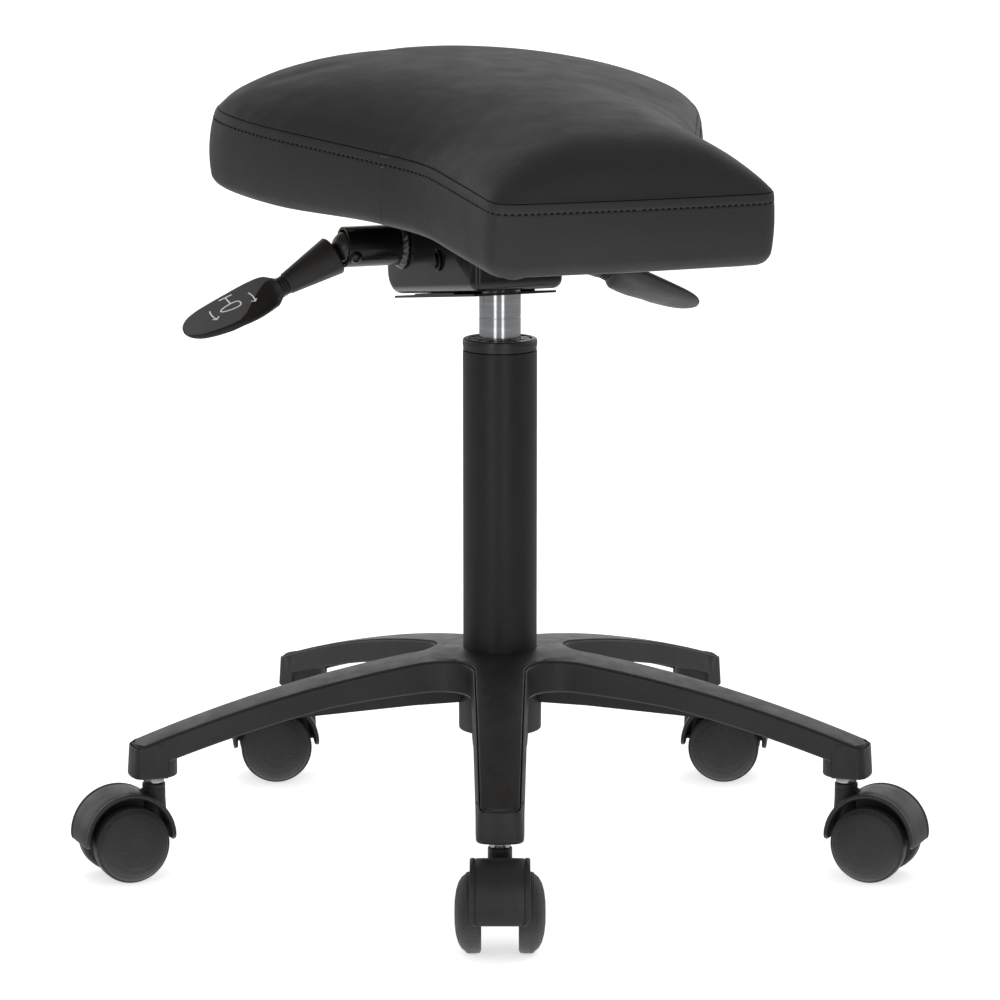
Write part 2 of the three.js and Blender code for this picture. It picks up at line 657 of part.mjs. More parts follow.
function hood() {
  const sector = (outer, inner, from, to) => {
    const shape = new THREE.Shape();
    shape.absarc(0, 0, outer, from, to, false);
    if (inner > 0) shape.absarc(0, 0, inner, to, from, true);
    else shape.lineTo(0, 0);
    return shape;
  };
  const band = sector(HOOD_R, HOOD_INNER_R, HOOD_FRONT_ANGLE, HOOD_REAR_ANGLE);
  const shell = pulledY(band, -HOOD_HALF, HOOD_HALF, HOOD_STEPS);
  const wall = mix(HOOD_R, HOOD_INNER_R, HALF);
  const panel = sector(wall, 0, HOOD_WEB_LOW_ANGLE, HOOD_WEB_HIGH_ANGLE);
  const web = pulledY(panel, -HOOD_WEB_HALF, HOOD_WEB_HALF, HOOD_STEPS * HALF);
  const boss = disc(HOOD_BOSS_R, GAP - WHEEL_INNER_Y, WHEEL_INNER_Y - GAP, ROUND_TINY, 'y');
  const neck = disc(NECK_R, NECK_BOTTOM_Z, NECK_TOP_Z, NECK_FACETS);
  const gussetFoot = WHEEL_R + HOOD_RISE + HOOD_INNER_R - HOOD_WEB_HALF;
  const gussetTop = NECK_TOP_Z - HOOD_WEB_HALF;
  const gusset = pulledY(polygon([
    [0, gussetFoot - NECK_R], [NECK_R + GUSSET_REACH, gussetFoot], [NECK_R, gussetTop], [0, gussetTop],
  ]), -HOOD_WEB_HALF, HOOD_WEB_HALF);
  const axleHole = onAxle(disc(AXLE_R + GAP, -WHEEL_OUTER_Y, WHEEL_OUTER_Y, ROUND_TINY, 'y'));
  const stemHole = disc(STEM_R + GAP, STEM_BOTTOM_Z - GAP, NECK_TOP_Z + OVERRUN, NECK_FACETS);
  const raised = [shell, web].map((piece) => onAxle(piece.translate(0, 0, HOOD_RISE)));
  return carve([...raised, onAxle(boss), neck, gusset], [axleHole, stemHole]);
}

function caster({ name, leg, trail }) {
  const group = new THREE.Group();
  group.position.set(STEM_CIRCLE_R * Math.cos(leg), STEM_CIRCLE_R * Math.sin(leg), 0);
  group.rotation.z = trail;
  const [collarLow, collarTop] = [NECK_TOP_Z + GAP, FOOT_BOTTOM_Z - GAP];
  group.add(named(`${name}_stem`, turned([
    [0, STEM_BOTTOM_Z], [STEM_R, STEM_BOTTOM_Z], [STEM_R, collarLow], [STEM_COLLAR_R, collarLow],
    [STEM_COLLAR_R, collarTop], [STEM_R, collarTop], [STEM_R, stemTopZ], [0, stemTopZ],
  ], ROUND_TINY), STEEL));
  group.add(named(`${name}_hood`, hood(), NYLON));
  const axleEnd = WHEEL_INNER_Y + WHEEL_BORE_DEPTH - GAP;
  group.add(named(`${name}_axle`, onAxle(disc(AXLE_R, -axleEnd, axleEnd, ROUND_TINY, 'y')), STEEL));
  const wheel = casterWheel().translate(0, WHEEL_INNER_Y, 0);
  group.add(named(`${name}_wheel_left`, onAxle(wheel.clone()), NYLON));
  group.add(named(`${name}_wheel_right`, onAxle(wheel.clone().rotateZ(Math.PI)), NYLON));
  return group;
}

// Seat mechanism
const slope = Math.tan(HOUSING_TILT);
const plateBottomZ = (y) => PLATE_BOTTOM_Z - y * slope;
const panBottomZ = (y) => plateBottomZ(y) + PLATE_THICK + PLATE_GAP;
const panFloorZ = (y) => panBottomZ(y) + PAN_WALL;

// The housing's blank, all its edges pulled in by an inset: the same side outline skinned across
// the width, drawn in by a quarter round towards both side walls.
function panBlank(inset) {
  const corner = (y, radius) => new THREE.Vector2(y, panBottomZ(y) + radius / Math.cos(HOUSING_TILT));
  const rear = corner(PAN_REAR_Y - PAN_REAR_CORNER, PAN_REAR_CORNER);
  const front = corner(PAN_FRONT_Y + PAN_FRONT_CORNER, PAN_FRONT_CORNER);
  const top = PAN_TOP_Z + PAN_EDGE_R;
  const outline = (x, drawn) => {
    const points = [new THREE.Vector3(x, PAN_FRONT_Y + drawn, top)];
    const bow = (centre, radius, from, to) => {
      for (let i = 0; i <= PAN_STEPS; i++) {
        const angle = mix(from, to, i / PAN_STEPS);
        const [y, z] = [centre.x + radius * Math.cos(angle), centre.y + radius * Math.sin(angle)];
        points.push(new THREE.Vector3(x, y, z));
      }
    };
    const down = -Math.PI * HALF - HOUSING_TILT;
    bow(front, PAN_FRONT_CORNER - drawn, -Math.PI, down);
    bow(rear, PAN_REAR_CORNER - drawn, down, 0);
    points.push(new THREE.Vector3(x, PAN_REAR_Y - drawn, top));
    return points;
  };
  const edge = PAN_EDGE_R - inset;
  const rings = [];
  for (const hand of [-1, 1]) {
    const side = [];
    for (let i = 0; i <= PAN_STEPS; i++) {
      const turn = Math.PI * HALF * i / PAN_STEPS;
      const x = PAN_HALF - PAN_EDGE_R + edge * Math.cos(turn);
      side.push(outline(hand * x, inset + edge * (1 - Math.sin(turn))));
    }
    const middle = side[0][0].clone().setComponent(1, rear.x * HALF).setComponent(2, PAN_TOP_Z);
    side.unshift(side[0].map(() => middle));
    rings.push(...(hand < 0 ? side : side.reverse()));
  }
  return skinned(rings);
}

function tiltHousing() {
  const side = PAN_HALF + OVERRUN;
  const above = PAN_TOP_Z + PAN_EDGE_R + OVERRUN;
  const lid = block(-side, side, PAN_FRONT_Y - OVERRUN, PAN_REAR_Y + OVERRUN, PAN_TOP_Z, above);
  const through = (radius, y, z, facets) => disc(radius, -side, side, facets, 'x').translate(0, y, z);
  return named('tilt_housing', carve([panBlank(0)], [
    panBlank(PAN_WALL), lid,
    disc(TUBE_R + GAP + GAP, plateBottomZ(0) - OVERRUN, SOCKET_TOP_Z, ROUND_LARGE),
    through(AXLE_ROD_R + GAP, PIVOT_Y, PIVOT_Z, ROUND_SMALL),
    through(LEVER_TUBE_BORE_R, LEVER_Y, LEVER_Z, ROUND),
    through(ROCKER_PIVOT_R + GAP, ROCKER_PIVOT_Y, ROCKER_PIVOT_Z, ROUND_TINY),
  ]), GLOSS);
}

function bottomPlate() {
  const above = (y, rise) => [y, plateBottomZ(y) + rise];
  const pad = PLATE_THICK + PLATE_GAP - GAP;
  const shape = polygon([
    above(PLATE_FRONT_Y, 0), above(PLATE_REAR_Y, 0), above(PLATE_REAR_Y, PLATE_THICK),
    above(PLATE_PAD_REAR_Y, PLATE_THICK), above(PLATE_PAD_REAR_Y, pad), above(PLATE_PAD_FRONT_Y, pad),
    above(PLATE_PAD_FRONT_Y, PLATE_THICK), above(PLATE_FRONT_Y, PLATE_THICK),
  ]);
  const plate = pulledX(shape, -PLATE_HALF, PLATE_HALF);
  const hole = disc(TUBE_R + GAP + GAP, PLATE_BOTTOM_Z - SOCKET_R, PLATE_BOTTOM_Z + SOCKET_R, ROUND_LARGE);
  return named('bottom_plate', carve([plate], [hole]), PAINT);
}

function taperSocket() {
  const bottom = PLATE_BOTTOM_Z;
  const bore = TUBE_R + GAP;
  const mouth = mix(TUBE_R, TUBE_TOP_R, share(SOCKET_TOP_Z, TUBE_TAPER_Z, TUBE_TOP_Z)) + GAP;
  const tube = turned([
    [bore, bottom], [SOCKET_R, bottom], [SOCKET_R, SOCKET_TOP_Z], [mouth, SOCKET_TOP_Z],
    [bore, TUBE_TAPER_Z], [bore, bottom],
  ], ROUND_LARGE);
  const y = SOCKET_R + OVERRUN;
  const below = PLATE_BOTTOM_Z - SOCKET_R;
  const rising = (at) => [at, panFloorZ(at) + GAP];
  const underFloor = pulledX(polygon([[-y, below], [y, below], rising(y), rising(-y)]), -y, y);
  return named('taper_socket', carve([tube], [underFloor]), PAINT);
}

function leverTube(name, hand) {
  const start = PAN_HALF + GAP;
  const [bore, outer] = [LEVER_TUBE_BORE_R, LEVER_TUBE_R];
  const tube = turned([
    [bore, start], [outer + WELD_R, start], [outer, start + WELD_R + WELD_R * HALF],
    [outer, LEVER_TUBE_END], [bore, LEVER_TUBE_END], [bore, start],
  ], ROUND, 'x').translate(0, LEVER_Y, LEVER_Z);
  const pinHole = disc(LEVER_PIN_R + GAP, -LEVER_TUBE_R - OVERRUN, LEVER_TUBE_R + OVERRUN, ROUND_TINY, 'y');
  const geometry = carve([tube], [pinHole.translate(LEVER_PIN_X, LEVER_Y, LEVER_Z)]);
  return named(name, handed(geometry, hand), GLOSS);
}

// What is on the sitter's other side is the same piece turned half round about the tubes' middle.
function handed(geometry, hand) {
  if (hand < 0) geometry.translate(0, -LEVER_Y, 0).rotateZ(Math.PI).translate(0, LEVER_Y, 0);
  return geometry;
}

function leverPin(name, hand) {
  const [shank, wide, narrow] = [LEVER_PIN_R, LEVER_PIN_HEAD_R, LEVER_PIN_HEAD_R * HALF];
  const seated = LEVER_TUBE_R + GAP;
  const [brim, tip] = [seated + LEVER_PIN_HEAD * HALF, seated + LEVER_PIN_HEAD];
  const pin = turned([
    [0, -tip], [narrow, -tip], [wide, -brim], [wide, -seated], [shank, -seated], [shank, seated],
    [wide, seated], [wide, brim], [narrow, tip], [0, tip],
  ], ROUND_TINY, 'y');
  return named(name, handed(pin.translate(LEVER_PIN_X, LEVER_Y, LEVER_Z), hand), GLOSS);
}

// The handle's axis runs from the ball's centre outwards and down.
const coneAxis = new THREE.Vector3(Math.cos(HANDLE_DROP), 0, -Math.sin(HANDLE_DROP));
const bladeAxis = new THREE.Vector3(Math.cos(BLADE_DROP), 0, -Math.sin(BLADE_DROP));
const ballCentre = new THREE.Vector3(ARM_BALL_X, LEVER_Y, LEVER_Z);

// A rod along the cone's axis, from one distance to another from the ball's centre.
function alongCone(radius, from, to) {
  return atBall(disc(radius, from, to, ROUND_TINY, 'x').rotateY(HANDLE_DROP));
}

function atBall(geometry) {
  return geometry.translate(ballCentre.x, ballCentre.y, ballCentre.z);
}

function leverArm(name, hand) {
  const ball = atBall(new THREE.SphereGeometry(ARM_BALL_R, ROUND_SMALL, ROUND_TINY));
  const inner = disc(ARM_R, ARM_INNER_X, ARM_BALL_X, ROUND_TINY, 'x').translate(0, LEVER_Y, LEVER_Z);
  const outer = alongCone(ARM_R, 0, HANDLE_START + HANDLE_BORE - GAP);
  const pinHole = disc(LEVER_PIN_R + GAP, -LEVER_TUBE_R, LEVER_TUBE_R, ROUND_TINY, 'y');
  pinHole.translate(LEVER_PIN_X, LEVER_Y, LEVER_Z);
  return named(name, handed(carve([ball, inner, outer], [pinHole]), hand), GLOSS);
}

// One section of the handle, square to the given axis and rolled about it.
function handleSection(centre, axis, halfWidth, halfThick, roll) {
  const wide = new THREE.Vector3(0, 1, 0).applyAxisAngle(axis, roll);
  const thick = new THREE.Vector3().crossVectors(axis, wide);
  const points = [];
  for (let i = 0; i < HANDLE_FACETS; i++) {
    const angle = 2 * Math.PI * i / HANDLE_FACETS;
    const point = centre.clone().addScaledVector(wide, halfWidth * Math.cos(angle));
    points.push(point.addScaledVector(thick, halfThick * Math.sin(angle)));
  }
  return points;
}

function leverHandle(name, hand) {
  const at = (distance) => ballCentre.clone().addScaledVector(coneAxis, HANDLE_START + distance);
  const rings = [];
  const round = (distance, radius) => {
    rings.push(handleSection(at(distance), coneAxis, radius, radius, -BLADE_ROLL));
  };
  round(0, 0);
  round(0, CONE_R - CONE_EDGE);
  round(CONE_EDGE, CONE_R);
  round(CONE_LENGTH, CONE_END_R);
  for (let i = 0; i < NECK_RINGS; i++) {
    const start = CONE_LENGTH + i * NECK_PITCH;
    round(start + NECK_PITCH / 4, NECK_GROOVE_R);
    round(start + NECK_PITCH * 3 / 4, NECK_RING_R);
  }
  const root = at(CONE_LENGTH + NECK_RINGS * NECK_PITCH);
  for (const [place, width, thick] of BLADE_shares) {
    const centre = root.clone().addScaledVector(bladeAxis, place * BLADE_LENGTH);
    const [halfWidth, halfThick] = [width * BLADE_HALF_WIDTH, thick * BLADE_HALF_THICK];
    rings.push(handleSection(centre, bladeAxis, halfWidth, halfThick, -BLADE_ROLL));
  }
  const tip = root.clone().addScaledVector(bladeAxis, BLADE_LENGTH);
  rings.push(handleSection(tip, bladeAxis, 0, 0, -BLADE_ROLL));
  const bore = alongCone(ARM_R + GAP, HANDLE_START - OVERRUN, HANDLE_START + HANDLE_BORE);
  return named(name, handed(carve([skinned(rings)], [bore]), hand), NYLON);
}

function pivotAxle() {
  const end = PAN_HALF + AXLE_ROD_REACH;
  const rod = disc(AXLE_ROD_R, -end, end, ROUND_SMALL, 'x');
  return named('pivot_axle', rod.translate(0, PIVOT_Y, PIVOT_Z), STEEL);
}

function snapRing(name, hand) {
  const start = PAN_HALF + GAP;
  const washer = ring(SNAP_RING_R, AXLE_ROD_R + GAP, start, start + SNAP_RING_THICK, ROUND_SMALL, 'x');
  if (hand < 0) washer.rotateZ(Math.PI);
  return named(name, washer.translate(0, PIVOT_Y, PIVOT_Z), GLOSS);
}

function releaseRocker() {
  const [low, high] = [ROCKER_BOTTOM_Z, ROCKER_BOTTOM_Z + ROCKER_THICK];
  const rearTop = LEVER_Z - ARM_R - GAP - GAP;
  const rearLow = rearTop - ROCKER_THICK;
  const front = ROCKER_PIVOT_Y - ROCKER_THICK;
  const foot = ROCKER_STEP_Y + ROCKER_STEP_RUN;
  const bar = pulledX(polygon([
    [front, low], [ROCKER_STEP_Y, low], [foot, rearLow], [ROCKER_REAR_Y, rearLow], [ROCKER_REAR_Y, rearTop],
    [foot + ROCKER_THICK, rearTop], [ROCKER_STEP_Y + ROCKER_THICK, high], [front, high],
  ]), ROCKER_LEFT_X, ROCKER_RIGHT_X);
  const end = PAN_HALF - GAP;
  const trunnion = disc(ROCKER_PIVOT_R, -end, end, ROUND_TINY, 'x');
  trunnion.translate(0, ROCKER_PIVOT_Y, ROCKER_PIVOT_Z);
  return named('release_rocker', carve([bar, trunnion]), STEEL);
}

// Tilt clamp: the bolt's place, its bracket's ears, the cam beside them and the slotted plate
const CLAMP_RISE = 18 * DEG;       // from the pivot to the bolt
const CLAMP_Z = PIVOT_Z + (CLAMP_Y - PIVOT_Y) * Math.tan(CLAMP_RISE);
const clampEarFace = LOCK_THICK * HALF + GAP;

const onBolt = (geometry) => geometry.translate(0, CLAMP_Y, CLAMP_Z);

function clampBracket() {
  const [front, rear] = [CLAMP_Y - CLAMP_FOOT_HALF, CLAMP_Y + CLAMP_FOOT_HALF];
  const foot = (y, rise = 0) => [y, panFloorZ(y) + GAP + rise];
  const ear = new THREE.Shape();
  ear.moveTo(...foot(front));
  ear.lineTo(...foot(rear));
  ear.lineTo(CLAMP_Y + CLAMP_BOSS_R, CLAMP_Z);
  ear.absarc(CLAMP_Y, CLAMP_Z, CLAMP_BOSS_R, 0, Math.PI, false);
  const [near, far] = [clampEarFace, clampEarFace + CLAMP_EAR];
  const left = pulledX(ear, CLAMP_X - far, CLAMP_X - near);
  const right = pulledX(ear, CLAMP_X + near, CLAMP_X + far);
  const sole = polygon([foot(front), foot(rear), foot(rear, CLAMP_EAR), foot(front, CLAMP_EAR)]);
  const base = pulledX(sole, CLAMP_X - near - CLAMP_EAR * HALF, CLAMP_X + near + CLAMP_EAR * HALF);
  const hole = disc(CLAMP_BOLT_R + GAP, CLAMP_X - CLAMP_BOSS_R, CLAMP_X + CLAMP_BOSS_R, ROUND_SMALL, 'x');
  return named('clamp_bracket', carve([left, right, base], [onBolt(hole)]), PAINT);
}

function clampBolt() {
  const right = CLAMP_X + clampEarFace + CLAMP_EAR + GAP;
  const left = CLAMP_X - clampEarFace - CLAMP_EAR - CAM_THICK - GAP - GAP - GAP;
  const [low, high] = [left - CLAMP_HEAD, right + CLAMP_HEAD];
  return named('clamp_bolt', onBolt(turned([
    [0, low], [CLAMP_HEAD_R, low], [CLAMP_HEAD_R, left], [CLAMP_BOLT_R, left], [CLAMP_BOLT_R, right],
    [CLAMP_HEAD_R, right], [CLAMP_HEAD_R, high], [0, high],
  ], ROUND_SMALL, 'x')), STEEL);
}

function clampCam() {
  const right = CLAMP_X - clampEarFace - CLAMP_EAR - GAP;
  const left = right - CAM_THICK;
  const tipY = LEVER_Y - ARM_R * HALF;
  const tipZ = LEVER_Z - ARM_R - GAP - GAP - CAM_TAB_HALF;
  const tab = pulledX(polygon([
    [CLAMP_Y, CLAMP_Z - CAM_R], [tipY, tipZ - CAM_TAB_HALF], [tipY + CAM_TAB_HALF, tipZ],
    [tipY, tipZ + CAM_TAB_HALF], [CLAMP_Y, CLAMP_Z - CLAMP_BOLT_R],
  ]), left, right);
  const wheel = onBolt(disc(CAM_R, left, right, ROUND_SMALL, 'x'));
  const hole = onBolt(disc(CLAMP_BOLT_R + GAP, left - OVERRUN, right + OVERRUN, ROUND_SMALL, 'x'));
  return named('clamp_cam', carve([wheel, tab], [hole]), STEEL);
}

// Seat
// The pivot's place in the seat's own frame
const pivotInSeat = new THREE.Vector2(PIVOT_Y, PIVOT_Z - SEAT_SEAM_Z);
pivotInSeat.rotateAround(new THREE.Vector2(), -SEAT_TILT);
const plateTop = -SEAT_DEPTH - GAP;
const plateLow = plateTop - SEAT_PLATE_THICK;

function lockPlate() {
  const [y, z] = [pivotInSeat.x, pivotInSeat.y];
  const boltR = Math.hypot(CLAMP_Y - PIVOT_Y, CLAMP_Z - PIVOT_Z);
  const boltAngle = Math.atan2(CLAMP_Z - PIVOT_Z, CLAMP_Y - PIVOT_Y) - SEAT_TILT;
  const half = CLAMP_BOLT_R + GAP + GAP;
  const boltTurn = Math.asin(half / boltR);
  const slotLow = boltAngle - SEAT_TILT_DOWN - boltTurn;
  const slotHigh = boltAngle + SEAT_TILT_UP + boltTurn;
  const low = slotLow - LOCK_MARGIN;
  const polar = (r, a) => [y + r * Math.cos(a), z + r * Math.sin(a)];
  const top = plateLow - GAP;
  const shape = polygon([
    [y + LOCK_INNER_R, top], polar(LOCK_INNER_R, slotHigh), polar(LOCK_INNER_R, low),
    polar(LOCK_OUTER_R, low), polar(LOCK_OUTER_R, mix(low, slotHigh, HALF)), polar(LOCK_OUTER_R, slotHigh),
    [y + LOCK_OUTER_R, top],
  ]);
  const slot = new THREE.Path();
  slot.absarc(y, z, boltR + half, slotLow, slotHigh, false);
  slot.absarc(y, z, boltR - half, slotHigh, slotLow, true);
  shape.holes.push(slot);
  const reach = LOCK_THICK * HALF;
  return named('lock_plate', pulledX(shape, CLAMP_X - reach, CLAMP_X + reach, LOCK_SLOT_STEPS), STEEL);
}

function seatPlate() {
  const c = SEAT_PLATE_CORNER;
  const [x, front, rear] = [SEAT_PLATE_HALF_X, SEAT_PLATE_FRONT_Y, SEAT_PLATE_REAR_Y];
  const shape = new THREE.Shape();
  shape.absarc(x - c, front + c, c, -Math.PI * HALF, 0, false);
  shape.absarc(x - c, rear - c, c, 0, Math.PI * HALF, false);
  shape.absarc(c - x, rear - c, c, Math.PI * HALF, Math.PI, false);
  shape.absarc(c - x, front + c, c, Math.PI, Math.PI * 3 * HALF, false);
  const sheet = pulledZ(shape, plateLow, plateTop, SEAT_PLATE_STEPS);
  const [y, z] = [pivotInSeat.x, pivotInSeat.y];
  const ear = new THREE.Shape();
  ear.moveTo(y + EAR_REAR, plateLow + SEAT_PLATE_THICK * HALF);
  ear.lineTo(y - EAR_FRONT, plateLow + SEAT_PLATE_THICK * HALF);
  ear.lineTo(y - EAR_BOSS_R, z);
  ear.absarc(y, z, EAR_BOSS_R, Math.PI, 2 * Math.PI, false);
  const outer = PAN_HALF - PAN_WALL - EAR_GAP;
  const inner = outer - EAR_THICK;
  const ears = [pulledX(ear, inner, outer), pulledX(ear, -outer, -inner)];
  const bore = disc(AXLE_ROD_R + GAP, -outer - OVERRUN, outer + OVERRUN, ROUND_SMALL, 'x');
  const cut = [bore.translate(0, y, z)];
  for (const [boltX, boltY] of boltPlaces()) {
    const hole = disc(SEAT_BOLT_R + GAP, plateLow - OVERRUN, plateTop + OVERRUN, ROUND_TINY);
    cut.push(hole.translate(boltX, boltY, 0));
  }
  return named('seat_plate', carve([sheet, ...ears], cut), PAINT);
}

function boltPlaces() {
  const [front, rear] = [SEAT_PLATE_FRONT_Y + SEAT_BOLT_INSET, SEAT_PLATE_REAR_Y - SEAT_BOLT_INSET];
  return [[SEAT_BOLT_X, front], [SEAT_BOLT_X, rear], [-SEAT_BOLT_X, rear], [-SEAT_BOLT_X, front]];
}

// The seat's plan outline at the seam, pulled in by an inset, from the nose round by +X. The swell
// is the share of the boxing's bulge that it takes.
function seatOutline(inset, swell = 0) {
  const half = new THREE.Path();
  half.moveTo(0, NOSE_V + NOSE_BOW);
  half.lineTo(NOSE_W - NOSE_CORNER, NOSE_V);
  half.quadraticCurveTo(NOSE_W, NOSE_V, NOSE_W, NOSE_V - NOSE_CORNER);
  const flare = new THREE.Vector2(WING_W - WAIST_W, WING_V - WAIST_V).normalize();
  half.lineTo(WAIST_W, WAIST_V + WAIST_R);
  half.quadraticCurveTo(WAIST_W, WAIST_V, WAIST_W + flare.x * WAIST_R, WAIST_V + flare.y * WAIST_R);
  half.lineTo(WING_W - flare.x * WING_R, WING_V - flare.y * WING_R);
  half.quadraticCurveTo(WING_W, WING_V, WING_W, WING_V - WING_R * REAR_FULLNESS);
  const lowV = WING_V - WING_R * REAR_FULLNESS;
  half.bezierCurveTo(WING_W, mix(lowV, REAR_V, REAR_FULLNESS), WING_W * REAR_FULLNESS, REAR_V, 0, REAR_V);
  const points = half.getSpacedPoints(OUTLINE_STEPS);
  const normals = points.map((_, i) => {
    const [before, after] = [points[Math.max(i - 1, 0)], points[Math.min(i + 1, points.length - 1)]];
    const along = new THREE.Vector2().subVectors(after, before).normalize();
    return new THREE.Vector2(along.y, -along.x);
  });
  normals[0].set(0, -1);
  normals[points.length - 1].set(0, 1);
  const bulge = (point) => mix(BULGE_REAR, BULGE_NOSE, share(point.y, 0, NOSE_V)) * swell;
  const right = points.map((point, i) => point.clone().addScaledVector(normals[i], inset - bulge(point)));
  const left = right.slice(1, -1).reverse().map((point) => new THREE.Vector2(-point.x, point.y));
  return [...right, ...left].map((point) => new THREE.Vector2(point.x, -point.y));
}

function seatBoard() {
  const shape = new THREE.Shape(seatOutline(BOARD_INSET));
  const board = pulledZ(shape, -SEAT_DEPTH, BOARD_THICK - SEAT_DEPTH);
  const [below, reach] = [-SEAT_DEPTH - OVERRUN, SEAT_BOLT_REACH + GAP - SEAT_DEPTH];
  const hole = disc(SEAT_BOLT_R + GAP, below, reach, ROUND_TINY);
  const holes = boltPlaces().map(([x, y]) => hole.clone().translate(x, y, 0));
  return named('seat_board', carve([board], holes), WOOD);
}

function seatBolt(name, [x, y]) {
  const head = plateLow - GAP;
  const low = head - SEAT_BOLT_HEAD;
  const tip = SEAT_BOLT_REACH - SEAT_DEPTH;
  const bolt = turned([
    [0, low], [SEAT_BOLT_HEAD_R, low], [SEAT_BOLT_HEAD_R, head], [SEAT_BOLT_R, head], [SEAT_BOLT_R, tip],
    [0, tip],
  ], ROUND_TINY);
  return named(name, bolt.translate(x, y, 0), STEEL);
}

// The cushion: from the pocket that holds the board, round the lip and up the boxing to the
// upper seam, then over the crown to the spine along the middle.
function seatCushion() {
  const place = (outline, z) => outline.map((point) => new THREE.Vector3(point.x, point.y, z));
  const onSpine = (y) => THREE.MathUtils.clamp(y, -SPINE_FRONT_V, -SPINE_REAR_V);
  const spineOf = (point) => new THREE.Vector2(0, onSpine(point.y));
  const seam = seatOutline(0);
  const pocketTop = BOARD_THICK + GAP - SEAT_DEPTH;
  const pocket = seatOutline(BOARD_INSET - GAP);
  const rings = [
    place(pocket.map(spineOf), pocketTop), place(pocket, pocketTop), place(pocket, -SEAT_DEPTH),
    place(seatOutline(BOTTOM_LIP), -SEAT_DEPTH),
  ];
  for (const [height, swell] of BOXING_shares) {
    rings.push(place(seatOutline(0, swell), (height - 1) * SEAT_DEPTH));
  }
  for (const reach of [0.05, 0.14, 0.28, 0.46, 0.7, 1]) {
    rings.push(seam.map((point) => {
      const spine = spineOf(point);
      const nose = share(-spine.y, -SPINE_FRONT_V * HALF, SPINE_FRONT_V);
      const rise = mix(CROWN, CROWN_NOSE, nose * nose) * Math.pow(1 - Math.pow(1 - reach, 2.2), 0.8);
      const plan = point.clone().lerp(spine, reach);
      return new THREE.Vector3(plan.x, plan.y, rise);
    }));
  }
  return named('seat_cushion', skinned(rings), VINYL);
}

// Assembly
const stool = new THREE.Group();
stool.add(starBase());
for (const place of CASTERS) stool.add(caster(place));

const head = new THREE.Group();
head.rotation.z = HEAD_YAW;
head.add(gasLift(), tiltHousing(), bottomPlate(), taperSocket());
head.add(leverTube('lever_tube_left', -1), leverTube('lever_tube_right', 1));
head.add(leverPin('lever_pin_left', -1), leverPin('lever_pin_right', 1));
head.add(leverArm('left_lever_arm', -1), leverArm('right_lever_arm', 1));
head.add(leverHandle('left_lever_handle', -1), leverHandle('right_lever_handle', 1));
head.add(pivotAxle(), snapRing('snap_ring_left', -1), snapRing('snap_ring_right', 1));
head.add(releaseRocker(), clampBracket(), clampBolt(), clampCam());

const seat = new THREE.Group();
seat.position.z = SEAT_SEAM_Z;
seat.rotation.x = SEAT_TILT;
seat.add(seatPlate(), lockPlate(), seatBoard(), seatCushion());
boltPlaces().forEach((place, i) => seat.add(seatBolt(`seat_bolt_${i + 1}`, place)));
head.add(seat);
stool.add(head);

export default stool;
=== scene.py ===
# Saddle stool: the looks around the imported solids. Lengths are in millimetres until a mesh is
# made, and each piece is drawn in its own frame: leg, caster, head or seat.
import math

import bmesh
import bpy
import numpy as np
from mathutils import Matrix, Vector
from mathutils.kdtree import KDTree


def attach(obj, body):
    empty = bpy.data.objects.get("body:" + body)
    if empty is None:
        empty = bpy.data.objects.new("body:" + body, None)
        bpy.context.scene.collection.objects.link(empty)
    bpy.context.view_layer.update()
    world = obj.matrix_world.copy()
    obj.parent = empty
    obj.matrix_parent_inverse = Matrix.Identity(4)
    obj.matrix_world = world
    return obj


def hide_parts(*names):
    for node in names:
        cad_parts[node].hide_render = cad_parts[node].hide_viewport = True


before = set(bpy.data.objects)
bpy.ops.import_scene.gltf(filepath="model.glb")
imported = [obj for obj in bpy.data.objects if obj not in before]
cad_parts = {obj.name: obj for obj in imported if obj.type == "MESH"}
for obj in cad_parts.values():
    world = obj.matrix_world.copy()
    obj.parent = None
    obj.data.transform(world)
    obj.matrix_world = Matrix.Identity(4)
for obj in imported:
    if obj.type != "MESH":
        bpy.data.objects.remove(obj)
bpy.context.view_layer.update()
MM = 0.001
PI = math.pi
rad = math.radians
length = np.linalg.norm


def lerp(a, b, t):
    return a + (b - a) * t


def share(value, start, end):
    return min(1.0, max(0.0, (value - start) / (end - start)))


def eased(t):
    return t * t * (3 - 2 * t)


def arc(a, b, c, t):
    """Point of the quadratic curve from a to c that is pulled to b."""
    return (1 - t) ** 2 * a + 2 * t * (1 - t) * b + t * t * c


# Materials
def node(tree, kind, **values):
    made = tree.nodes.new(kind)
    for key, value in values.items():
        if key in made.inputs:
            made.inputs[key].default_value = value
        else:
            setattr(made, key.lower(), value)
    return made


def noise(tree, place, scale, detail=4.0, rough=0.55):
    made = node(tree, "ShaderNodeTexNoise", Scale=scale, Detail=detail, Roughness=rough)
    tree.links.new(place, made.inputs["Vector"])
    return made.outputs["Fac"]


def stretched(tree, place, factors):
    made = node(tree, "ShaderNodeMapping")
    made.inputs["Scale"].default_value = factors
    tree.links.new(place, made.inputs["Vector"])
    return made.outputs["Vector"]


def ranged(tree, value, low, high, start=0.3, end=0.7):
    made = node(tree, "ShaderNodeMapRange")
    for key, number in (("From Min", start), ("From Max", end), ("To Min", low), ("To Max", high)):
        made.inputs[key].default_value = number
    tree.links.new(value, made.inputs["Value"])
    return made.outputs["Result"]


